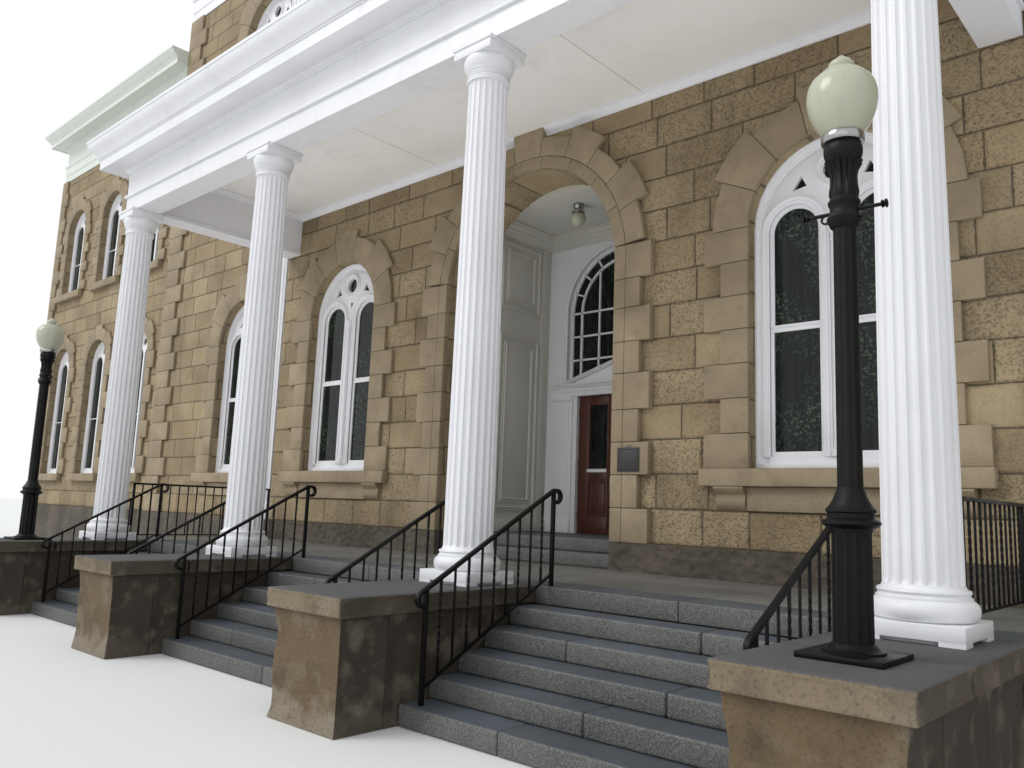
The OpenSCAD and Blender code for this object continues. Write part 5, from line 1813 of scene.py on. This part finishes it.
@dataclass
class Entrance(Surrounds):
    """The entrance arch with its blocks, the panelled recess, the door casing and the fanlight."""

    arch_half: float = 1.493
    arch_spring: float = 3.71
    ring_r: float = 1.655
    arch_short: float = 1.92
    arch_long: float = 2.075
    first_joint: float = 5.4
    levels: Sequence[float] = (0.32, 0.71, 1.09, 1.47, 1.85, 2.28, 2.66, 3.07, 3.43, 3.85)
    jamb_short: float = 1.866
    jamb_long: float = 2.014
    face: float = 2.77
    arch_out: float = 0.095
    recess: float = 1.40
    recess_front: float = 3.42
    door_y: float = 4.90
    floor: float = 0.32
    recess_top: float = 5.08
    ceiling: float = 5.758
    rolls: Outline = (
        (0.0, 0.0), (0.0, 0.010), (0.010, 0.018), (0.020, 0.018), (0.026, 0.010), (0.036, 0.012),
        (0.046, 0.026), (0.060, 0.028), (0.066, 0.020), (0.072, 0.0),
    )
    crown: Outline = (
        (0.0, 4.86), (-0.018, 4.862), (-0.022, 4.890), (-0.050, 4.905), (-0.060, 4.935), (-0.100, 4.950),
        (-0.110, 4.985), (-0.160, 5.005), (-0.172, 5.040), (-0.200, 5.050), (-0.200, 5.079), (0.0, 5.079),
    )

    def build(self) -> None:
        """Builds the arch, the recess, the casing and the fanlight."""
        self.dress(self.arch_stones(), "entrance_arch_stones", "dressed", ("stone_surrounds",))
        self.dress(self.plaque(), "bare_wall_plaque", "plate")
        self.dress(self.lining(), "recess_panelling", "reveal", ("recess_lining",), angle=28.0)
        self.dress(self.casing(), "door_casing_woodwork", "white", ("door_casing",), angle=28.0)
        self.dress(self.fanlight(), "fanlight_bars", "white", ("fanlight_frame",), angle=28.0)
        self.dress(self.treads(), "doorway_treads", "granite", ("doorway_steps",))

    def arch_stones(self) -> Piece:
        """Builds the smooth inner ring and the toothed blocks outside it.

        Returns:
            The joined stones.
        """
        stones = []
        gap = self.joint / 2
        for s in (-1, 1):
            for i, (low_z, high_z) in enumerate(zip(self.levels, self.levels[1:])):
                outer = self.jamb_short if i % 2 else self.jamb_long
                for x0, x1 in ((self.ring_r + gap, outer), (self.arch_half, self.ring_r)):
                    low = (s * x0, -self.arch_out, low_z + gap)
                    stones.append(Bench.block(low, (s * x1, 0.0, high_z - gap)))
        rings = ((11, self.ring_r + gap, (self.arch_short, self.arch_long), self.arch_out),
                 (9, self.arch_half, (self.ring_r, self.ring_r), self.arch_out - 0.004))
        for count, inner, outers, out in rings:
            sweep = (180.0 - 2 * self.first_joint) / count
            for i in range(count):
                start = self.first_joint + i * sweep
                stones.append(self.wedge((0.0, self.arch_spring), inner, outers[i % 2], start,
                                         start + sweep, out))
        arch = Bench.join(stones)
        Bench.bevel(arch, 0.009)
        ceiling = Bench.block((-3.0, -1.0, self.ceiling), (3.0, 1.0, self.ceiling + 1.2))
        Bench.cut(arch, [ceiling])
        arch.data.transform(Matrix.Translation((0.0, self.face, 0.0)))
        return arch

    def plaque(self) -> Piece:
        """Casts the bare plate with a small peak on the right jamb.

        Returns:
            The plate.
        """
        x0, x1, z0, z1 = 1.60, 1.90, 1.125, 1.40
        middle = (x0 + x1) / 2
        outline = [(x0, z0), (x1, z0), (x1, z1), (middle + 0.05, z1 + 0.004), (middle, z1 + 0.03),
                   (middle - 0.05, z1 + 0.004), (x0, z1)]
        plate = Bench.prism(outline, Plane.FRONT, self.face - self.arch_out - 0.014,
                            self.face - self.arch_out)
        Bench.bevel(plate, 0.003)
        left, right, low, high = x0 + 0.018, x1 - 0.018, z0 + 0.018, z1 - 0.012
        inner = [(left, low), (left, high), (right, high), (right, low)]
        bead = [(0.0, 0.0), (0.006, 0.005), (0.012, 0.0)]
        rim = Bench.trim(bead, inner, self.face - self.arch_out - 0.013, closed=True)
        return Bench.join([plate, rim])

    def panel(self, low: Flat, high: Flat, level: float, side: int) -> list[Piece]:
        """Frames one raised panel on a side wall of the recess.

        Args:
            low: The panel's lowest corner, along and up the wall.
            high: Its highest corner.
            level: The face of the wall.
            side: Plus one on the right wall, minus one on the left.

        Returns:
            Two nested frames and the field between them.
        """
        frames = []
        for inset in (0.0, 0.13):
            a0, z0, a1, z1 = low[0] + inset, low[1] + inset, high[0] - inset, high[1] - inset
            loop = [(a0, z0), (a0, z1), (a1, z1), (a1, z0)]
            frames.append(Bench.moulding(self.rolls, loop, Plane.SIDE, level, closed=True, rise=-side))
        field_low = (level, low[0] + 0.19, low[1] + 0.19)
        frames.append(Bench.block(field_low, (level - side * 0.008, high[0] - 0.19, high[1] - 0.19), 0.004))
        return frames

    def lining(self) -> Piece:
        """Builds the two panelled walls, the ceiling and the crown moulding.

        Returns:
            The lining.
        """
        x, y0, y1 = self.recess, self.recess_front, self.door_y
        pieces = [Bench.block((-x - 0.09, y0, self.recess_top), (x + 0.09, y1, self.recess_top + 0.06))]
        crown = self.arch_spring + self.arch_half + 0.05
        pieces.append(Bench.block((-0.9, y0, self.recess_top + 0.06), (0.9, y0 + 0.03, crown)))
        for s in (-1, 1):
            pieces.append(Bench.block((s * x, y0, self.floor), (s * (x + 0.09), y1, self.recess_top)))
            for low_z, high_z in ((0.62, 3.34), (3.70, 4.82)):
                pieces += self.panel((y0 + 0.28, low_z), (y1 - 0.25, high_z), s * x, s)
            for y, width, out in ((y1 - 0.17, 0.13, 0.024), (y0 + 0.11, 0.10, 0.018)):
                low = (s * x, y - width / 2, self.floor)
                pieces.append(Bench.block(low, (s * (x - out), y + width / 2, 4.87), 0.006))
            pieces.append(Bench.block((s * x, y0, self.floor), (s * (x - 0.03), y1, self.floor + 0.17),
                                      0.008))
        path = [(-x, y0), (-x, y1), (x, y1), (x, y0)]
        pieces.append(Bench.moulding([(-a, b) for a, b in self.crown], path, Plane.PLAN, 0.0))
        return Bench.join(pieces)

    def casing(self) -> Piece:
        """Builds the door's side posts, the beam over it and the low gable.

        Returns:
            The casing.
        """
        y, foot, head, half = self.door_y, self.floor, 2.43, 1.24
        pieces = []
        for s in (-1, 1):
            for inner, outer, out in ((0.7625, 0.84, 0.030), (0.84, half, 0.055), (0.90, 1.18, 0.066)):
                pieces.append(Bench.block((s * inner, y - out, foot), (s * outer, y, head), 0.005))
            pieces.append(Bench.block((s * 0.85, y - 0.075, foot), (s * 1.25, y, foot + 0.22), 0.008))
            pieces.append(Bench.block((s * 0.86, y - 0.078, 2.36), (s * 1.25, y, head), 0.008))
        profile = [(0.0, 2.43), (-0.052, 2.43), (-0.052, 2.50), (-0.060, 2.505), (-0.060, 2.555),
                   (-0.078, 2.57),
                   (-0.084, 2.592), (-0.110, 2.600), (-0.110, 2.618), (-0.118, 2.628), (0.0, 2.628)]
        path = [(-half, y), (half, y)]
        pieces.append(Bench.moulding([(-a, b) for a, b in profile], path, Plane.PLAN, 0.0))
        gable = [(-1.04, 2.626), (1.04, 2.626), (0.0, 2.93)]
        pieces.append(Bench.prism(gable, Plane.FRONT, y - 0.035, y))
        rake = [(0.0, 0.0), (0.0, 0.10), (0.018, 0.11), (0.030, 0.09), (0.045, 0.085), (0.052, 0.06),
                (0.060, 0.0)]
        path = [(-1.10, 2.626), (0.0, 2.955), (1.10, 2.626)]
        pieces.append(Bench.trim(rake, path, y))
        return Bench.join(pieces)

    def fanlight(self) -> Piece:
        """Builds the round-headed window over the door, with bars and a ring of short spokes.

        Returns:
            The fanlight.
        """
        y, foot, spring = self.door_y, 2.642, 3.78
        trim = [(0.0, 0.0), (0.0, 0.045), (-0.016, 0.052), (-0.022, 0.040), (-0.052, 0.034), (-0.060, 0.022),
                (-0.095, 0.016), (-0.100, 0.0)]
        pieces = [Bench.trim(trim, Bench.arch(0.985, foot, spring, 28), y)]
        bar = [(-0.014, 0.0), (-0.014, 0.030), (0.014, 0.030), (0.014, 0.0)]
        edge = [(0.0, 0.0), (0.0, 0.045), (0.030, 0.045), (0.040, 0.030), (0.055, 0.030), (0.055, 0.0)]
        level = y + 0.09
        pieces.append(Bench.trim(edge, Bench.arch(0.999, foot, spring, 28), level))
        wide_bar = [(a * 1.3, b) for a, b in bar]
        pieces.append(Bench.trim(wide_bar, Bench.arch(0.78, foot, spring, 26), level))
        for x in (-0.435, -0.145, 0.145, 0.435):
            top = spring + math.sqrt(0.78 ** 2 - x ** 2)
            pieces.append(Bench.trim(bar, [(x, foot), (x, top)], level))
        for z in (spring - 0.76, spring - 0.38, spring):
            pieces.append(Bench.trim(bar, [(-0.99, z), (0.99, z)], level))
        for i in range(1, 9):
            turn = math.radians(20.0 * i)
            ends = [(r * math.cos(turn), spring + r * math.sin(turn)) for r in (0.78, 0.985)]
            pieces.append(Bench.trim(bar, ends, level))
        pieces.append(Bench.block((-0.99, level - 0.045, foot), (0.99, level, foot + 0.05), 0.004))
        return Bench.join(pieces)

    def treads(self) -> Piece:
        """Lays the two steps in the arch and the recess floor.

        Returns:
            The steps and the floor.
        """
        half, wide = self.arch_half, self.recess + 0.09
        steps = Bench.join([Bench.block((-half, 2.85, 0.0), (half, 3.30, 0.159)),
                            Bench.block((-half, 3.14, 0.161), (half, 3.42, self.floor)),
                            Bench.block((-wide, 3.422, 0.0), (wide, self.door_y, self.floor))])
        Bench.bevel(steps, 0.014, 3)
        return steps


@dataclass
class Doors(Part):
    """The two varnished door leaves with glass, rails, a raised panel and a pull."""

    inner: float = 0.0035
    width: float = 0.752
    front: float = 4.93
    thick: float = 0.05
    foot: float = 0.327
    top: float = 2.423
    stile: float = 0.2
    glass_low: float = 1.30
    glass_high: float = 2.293

    def build(self) -> None:
        """Builds the right leaf and its mirror image."""
        for side in Side:
            word = side.name.lower()
            self.dress(self.leaf(side.value), f"door_leaf_{word}_panelled", "door", (f"door_leaf_{word}",),
                       f"{word}_door")
            self.dress(self.trim(side.value), f"door_push_bar_{word}", "white", body=f"{word}_door")
            self.dress(self.pull(side.value), f"door_pull_{word}", "chrome", body=f"{word}_door")

    def span(self, side: int, a: float, b: float) -> tuple[float, float]:
        """Returns two distances from the middle as the lower and the upper x on that side."""
        low, high = sorted((side * a, side * b))
        return low, high

    def leaf(self, side: int) -> Piece:
        """Builds the frame of stiles and rails with a raised panel, and its hinge knuckles.

        Args:
            side: Plus one on the right, minus one on the left.

        Returns:
            The leaf.
        """
        pieces = []
        y0, y1 = self.front, self.front + self.thick
        end = self.inner + self.width
        for a, b in ((self.inner, self.inner + self.stile), (end - self.stile, end)):
            pieces.append(Bench.block((side * a, y0, self.foot), (side * b, y1, self.top), 0.002))
        low_x, high_x = self.span(side, self.inner + self.stile, end - self.stile)
        for z0, z1 in ((self.foot, self.foot + 0.25), (1.12, self.glass_low), (self.glass_high, self.top)):
            pieces.append(Bench.block((low_x, y0, z0), (high_x, y1, z1), 0.002))
        pieces.append(Bench.block((low_x, y0 + 0.016, self.foot + 0.25), (high_x, y1 - 0.012, 1.12)))
        low = (low_x + 0.05, y0 + 0.004, self.foot + 0.30)
        pieces.append(Bench.block(low, (high_x - 0.05, y1 - 0.004, 1.07), 0.01))
        bead = [(0.0, 0.0), (0.0, 0.012), (0.012, 0.016), (0.018, 0.0)]
        for z0, z1 in ((self.foot + 0.25, 1.12), (self.glass_low, self.glass_high)):
            loop = [(low_x, z0), (low_x, z1), (high_x, z1), (high_x, z0)]
            pieces.append(Bench.trim(bead, loop, y0 + 0.016, closed=True))
        for z in (0.517, 1.315, 2.115):
            knuckle = ((0.0066, z), (0.0066, z + 0.12))
            pieces.append(Bench.turned(knuckle, (side * end, y0), 16))
        return Bench.join(pieces)

    def trim(self, side: int) -> Piece:
        """Builds the pale bar under the glass."""
        low_x, high_x = self.span(side, self.inner + self.stile, self.inner + self.width - self.stile + 0.02)
        return Bench.block((low_x, self.front - 0.022, 1.248), (high_x, self.front, 1.298), 0.005)

    def pull(self, side: int) -> Piece:
        """Bends the upright pull on the meeting stile.

        Args:
            side: Plus one on the right, minus one on the left.

        Returns:
            The pull.
        """
        x = side * (self.inner + 0.10)
        y = self.front
        path = [(y, 0.92), (y - 0.04, 0.93), (y - 0.05, 0.96), (y - 0.05, 1.16), (y - 0.04, 1.19), (y, 1.20)]
        bar = [(0.008 * math.cos(t), 0.008 * math.sin(t)) for t in (math.tau * i / 8 for i in range(8))]
        return Bench.moulding(bar, path, Plane.SIDE, x)


@dataclass
class Block(Part):
    """The tall pilasters, corner stones, entablatures and roof trim of the centre block and the wings."""

    pilaster_in: float = 5.952
    pilaster_out: float = 6.532
    face: float = 2.77
    bay: float = 3.16
    foot: float = 0.32
    head: float = 12.06
    corner: float = 11.6
    rear: float = 20.16
    wing_face: float = 3.25
    wing_rear: float = 14.25
    wing_end: float = 19.3
    wing_head: float = 9.86
    course: float = 0.391
    quoin: Flat = (0.79, 0.58)
    wing_quoin: Flat = (0.42, 0.30)
    quoin_out: float = 0.060
    main: Outline = (
        (-0.36, 12.06), (0.020, 12.06), (0.020, 12.30), (0.034, 12.305), (0.034, 12.60), (0.050, 12.61),
        (0.075, 12.65), (0.080, 12.70), (0.010, 12.72), (0.010, 13.20), (0.040, 13.22), (0.055, 13.28),
        (0.110, 13.30), (0.120, 13.36), (0.420, 13.37), (0.425, 13.355), (0.446, 13.355), (0.446, 13.55),
        (0.465, 13.56), (0.470, 13.585), (0.500, 13.60), (0.530, 13.65), (0.575, 13.70), (0.600, 13.75),
        (0.606, 13.78), (0.620, 13.79), (0.620, 13.84), (-0.36, 13.84),
    )
    wing: Outline = (
        (-0.36, 9.86), (0.020, 9.86), (0.020, 10.06), (0.034, 10.065), (0.034, 10.30), (0.060, 10.33),
        (0.066, 10.38), (0.010, 10.40), (0.010, 10.80), (0.045, 10.82), (0.060, 10.87), (0.100, 10.89),
        (0.112, 10.94), (0.380, 10.95), (0.384, 10.935), (0.404, 10.935), (0.404, 11.06), (0.425, 11.07),
        (0.432, 11.10), (0.470, 11.13), (0.500, 11.18), (0.536, 11.22), (0.545, 11.245), (0.560, 11.25),
        (0.560, 11.30), (-0.36, 11.30),
    )

    def build(self) -> None:
        """Builds the trim of the block and of both wings."""
        for side in Side:
            word = side.name.lower()
            self.dress(self.pilaster(side.value), f"tall_pilaster_{word}", "white", ("tall_pilasters",))
        path = [(-self.corner, self.rear), (-self.corner, self.bay), (-self.pilaster_out, self.bay),
                (-self.pilaster_out, self.face), (self.pilaster_out, self.face),
                (self.pilaster_out, self.bay),
                (self.corner, self.bay), (self.corner, self.rear)]
        band = Bench.moulding(self.main, path, Plane.PLAN, 0.0, closed=True)
        self.dress(band, "main_entablature_mouldings", "white", ("main_entablature",), angle=28.0)
        right = [(self.corner, self.wing_face), (self.wing_end, self.wing_face),
                 (self.wing_end, self.wing_rear),
                 (self.corner, self.wing_rear)]
        for side in Side:
            path = right if side is Side.RIGHT else [(-x, y) for x, y in right[::-1]]
            band = Bench.moulding(self.wing, path, Plane.PLAN, 0.0)
            self.dress(band, f"wing_entablature_{side.name.lower()}", "wing_shade_paint", ("wing_entablatures",),
                       angle=28.0)
        self.corners()

    def pilaster(self, side: int) -> Piece:
        """Builds one tall channelled pilaster with a base and a plain capital.

        Args:
            side: Plus one on the right, minus one on the left.

        Returns:
            The pilaster.
        """
        a, b = self.pilaster_in, self.pilaster_out
        channels = 5
        width = (b - a) / channels
        front = []
        for k in range(channels):
            x0 = a + k * width
            front += [(x0 + 0.018, self.face)]
            front += [(x0 + width / 2 - (width / 2 - 0.018) * math.cos(t), self.face + 0.034 * math.sin(t))
                      for t in (math.pi * i / 6 for i in range(1, 6))]
            front += [(x0 + width - 0.018, self.face)]
        outline = [(b, self.bay), (b, self.face), *front[::-1], (a, self.face), (a, self.bay)]
        outline = [(side * x, y) for x, y in outline]
        pieces = [Bench.prism(outline, Plane.PLAN, self.foot + 0.30, self.head - 0.36)]
        for z0, z1, out in ((self.foot, self.foot + 0.22, 0.05), (self.foot + 0.22, self.foot + 0.30, 0.028),
                            (self.head - 0.36, self.head - 0.30, 0.02),
                            (self.head - 0.30, self.head - 0.10, 0.0),
                            (self.head - 0.10, self.head, 0.028)):
            low = (side * (a - out * 0.4), self.face - out, z0)
            pieces.append(Bench.block(low, (side * (b + out), self.bay, z1), 0.008))
        return Bench.join(pieces)

    def corner_stones(self, head: float, widths: Flat, both: bool) -> Piece:
        """Stacks corner stones at the origin, for a corner that faces forward and right.

        Args:
            head: The height of the wall's head.
            widths: The widths of the first and the second stone on the front.
            both: True where the stones turn the corner.

        Returns:
            The joined stones.
        """
        stones = []
        count = round((head - self.foot) / self.course)
        step = (head - self.foot) / count
        out = self.quoin_out
        for i in range(count):
            low, high = self.foot + i * step, self.foot + (i + 1) * step
            along, deep = widths[i % 2], widths[(i + 1) % 2]
            outline = [(out, -out), (out, deep), (0.0, deep), (0.0, 0.0), (-along, 0.0), (-along, -out)]
            if not both:
                outline = [(0.0, -out), (0.0, 0.0), (-along, 0.0), (-along, -out)]
            stones.append(Bench.prism(outline, Plane.PLAN, low + 0.004, high - 0.004))
        stack = Bench.join(stones)
        Bench.bevel(stack, 0.008)
        return stack

    def corners(self) -> None:
        """Copies the corner stones to the right-hand corners and mirrors them to the left."""
        mirror = Matrix.Scale(-1.0, 4, (1.0, 0.0, 0.0))
        stacks = {"corner_stones_front": (self.head, self.quoin, False, Spot(self.corner, self.bay)),
                  "corner_stones_rear": (self.head, self.quoin, True, Spot(self.corner, self.rear, 90.0)),
                  "wing_corner_stones_front": (self.wing_head, self.wing_quoin, True,
                                               Spot(self.wing_end, self.wing_face)),
                  "wing_corner_stones_rear": (self.wing_head, self.wing_quoin, True,
                                              Spot(self.wing_end, self.wing_rear, 90.0))}
        for name, (head, widths, both, spot) in stacks.items():
            right = self.corner_stones(head, widths, both)
            right.data.transform(spot.move())
            left = Bench.copy(right, mirror)
            Bench.tidy(left)
            for piece, side in ((right, Side.RIGHT), (left, Side.LEFT)):
                self.dress(piece, f"{name}_{side.name.lower()}", "dressed", ("stone_surrounds",))


@dataclass(frozen=True)
class Sun:
    """A broad soft lamp far away, with its angles in degrees."""

    name: str
    energy: float
    spread: float
    tilt: float
    turn: float


@dataclass
class Studio:
    """Camera, lamps, sky and floor."""

    eye: Point = (7.310, -5.320, 0.660)
    turn: float = 0.7329
    pitch: float = 0.1480
    roll: float = 0.0357
    lens: float = 29.45
    centre_px: Flat = (525.36, 383.35)
    suns: Sequence[Sun] = (Sun("soft_sun", 1.30, 30.0, 50.0, -38.0), Sun("low_fill", 0.30, 60.0, 84.0, 14.0))
    bounce_size: Flat = (12.0, 1.8)
    bounce_energy: float = 75.0
    bounce_spread: float = 100.0
    bounce_place: Point = (0.0, 1.3, 0.03)
    sky: Colour = (0.93, 0.96, 1.0)
    sky_strength: float = 0.90
    floor_size: float = 400.0
    floor_colour: Colour = (0.78, 0.78, 0.77)

    def camera(self) -> None:
        """Stands the camera where the photograph was taken."""
        data = bpy.data.cameras.new("photo_camera")
        data.sensor_width = 36.0
        data.lens = self.lens
        data.shift_x = (PHOTO_SIZE[0] / 2 - self.centre_px[0]) / PHOTO_SIZE[0]
        data.clip_end = 500.0
        camera = bpy.data.objects.new("photo_camera", data)
        bpy.context.scene.collection.objects.link(camera)
        bpy.context.scene.camera = camera
        ahead = Vector((-math.sin(self.turn) * math.cos(self.pitch),
                        math.cos(self.turn) * math.cos(self.pitch),
                        math.sin(self.pitch)))
        right = Vector((math.cos(self.turn), math.sin(self.turn), 0.0))
        up = right.cross(ahead)
        tilted_right = math.cos(self.roll) * right + math.sin(self.roll) * up
        tilted_up = -math.sin(self.roll) * right + math.cos(self.roll) * up
        turn = Matrix((tilted_right, tilted_up, -ahead)).transposed()
        place = Vector((self.eye[0], self.eye[1] - MIDDLE_Y, self.eye[2] + GROUND_DROP))
        camera.matrix_world = Matrix.Translation(place) @ turn.to_4x4()

    def lamps(self) -> None:
        """Hangs the soft suns, and the lamp for the light that the porch floor throws up."""
        for sun in self.suns:
            data = bpy.data.lights.new(sun.name, "SUN")
            data.energy = sun.energy
            data.angle = math.radians(sun.spread)
            lamp = bpy.data.objects.new(sun.name, data)
            lamp.rotation_euler = (math.radians(sun.tilt), 0.0, math.radians(sun.turn))
            bpy.context.scene.collection.objects.link(lamp)
        data = bpy.data.lights.new("floor_bounce", "AREA")
        data.shape = "RECTANGLE"
        data.size, data.size_y = self.bounce_size
        data.energy = self.bounce_energy
        data.spread = math.radians(self.bounce_spread)
        lamp = bpy.data.objects.new("floor_bounce", data)
        lamp.location = Vector(self.bounce_place) + Vector((0.0, -MIDDLE_Y, GROUND_DROP))
        lamp.rotation_euler = (math.radians(180.0), 0.0, 0.0)
        lamp.visible_camera = False
        lamp.visible_glossy = False
        bpy.context.scene.collection.objects.link(lamp)

    def backdrop(self) -> None:
        """Sets an even sky, which is plain white where it is seen."""
        world = bpy.data.worlds.new("pale_sky")
        bpy.context.scene.world = world
        world.use_nodes = True
        nodes, links = world.node_tree.nodes, world.node_tree.links
        sky = nodes["Background"]
        sky.inputs[0].default_value = (*self.sky, 1.0)
        sky.inputs[1].default_value = self.sky_strength
        seen = nodes.new("ShaderNodeBackground")
        seen.inputs[0].default_value = (1.0, 1.0, 1.0, 1.0)
        path = nodes.new("ShaderNodeLightPath")
        blend = nodes.new("ShaderNodeMixShader")
        rays = path.outputs["Is Camera Ray"]
        for kind in ("Is Glossy Ray", "Is Transmission Ray"):
            either = nodes.new("ShaderNodeMath")
            either.operation = "MAXIMUM"
            links.new(rays, either.inputs[0])
            links.new(path.outputs[kind], either.inputs[1])
            rays = either.outputs[0]
        links.new(rays, blend.inputs[0])
        links.new(sky.outputs[0], blend.inputs[1])
        links.new(seen.outputs[0], blend.inputs[2])
        links.new(blend.outputs[0], nodes["World Output"].inputs[0])
        bpy.context.scene.view_settings.view_transform = "Standard"

    def floor(self) -> None:
        """Lays the plain pale floor."""
        bpy.ops.mesh.primitive_plane_add(size=self.floor_size, location=(0.0, 0.0, -0.002))
        floor = bpy.context.object
        floor.name = "studio_floor"
        floor.data.materials.append(Tree("pale_floor").surface(self.floor_colour, 0.8))


def main() -> None:
    """Loads the construction, dresses it and sets the studio."""
    logging.basicConfig(level=logging.INFO, format="%(message)s")
    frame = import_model()
    bpy.ops.object.select_all(action="DESELECT")
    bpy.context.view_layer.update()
    palette = Palette()
    palette.dress_nodes(frame)
    for part in (Columns, PorchTop, FrontSteps, Railings, Lamps, LargeWindows, WingWindows, Surrounds,
                 Entrance, Doors, Block):
        part(palette).build()
    studio = Studio()
    studio.camera()
    studio.lamps()
    studio.backdrop()
    studio.floor()
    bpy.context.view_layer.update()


if __name__ == "__main__":
    main()
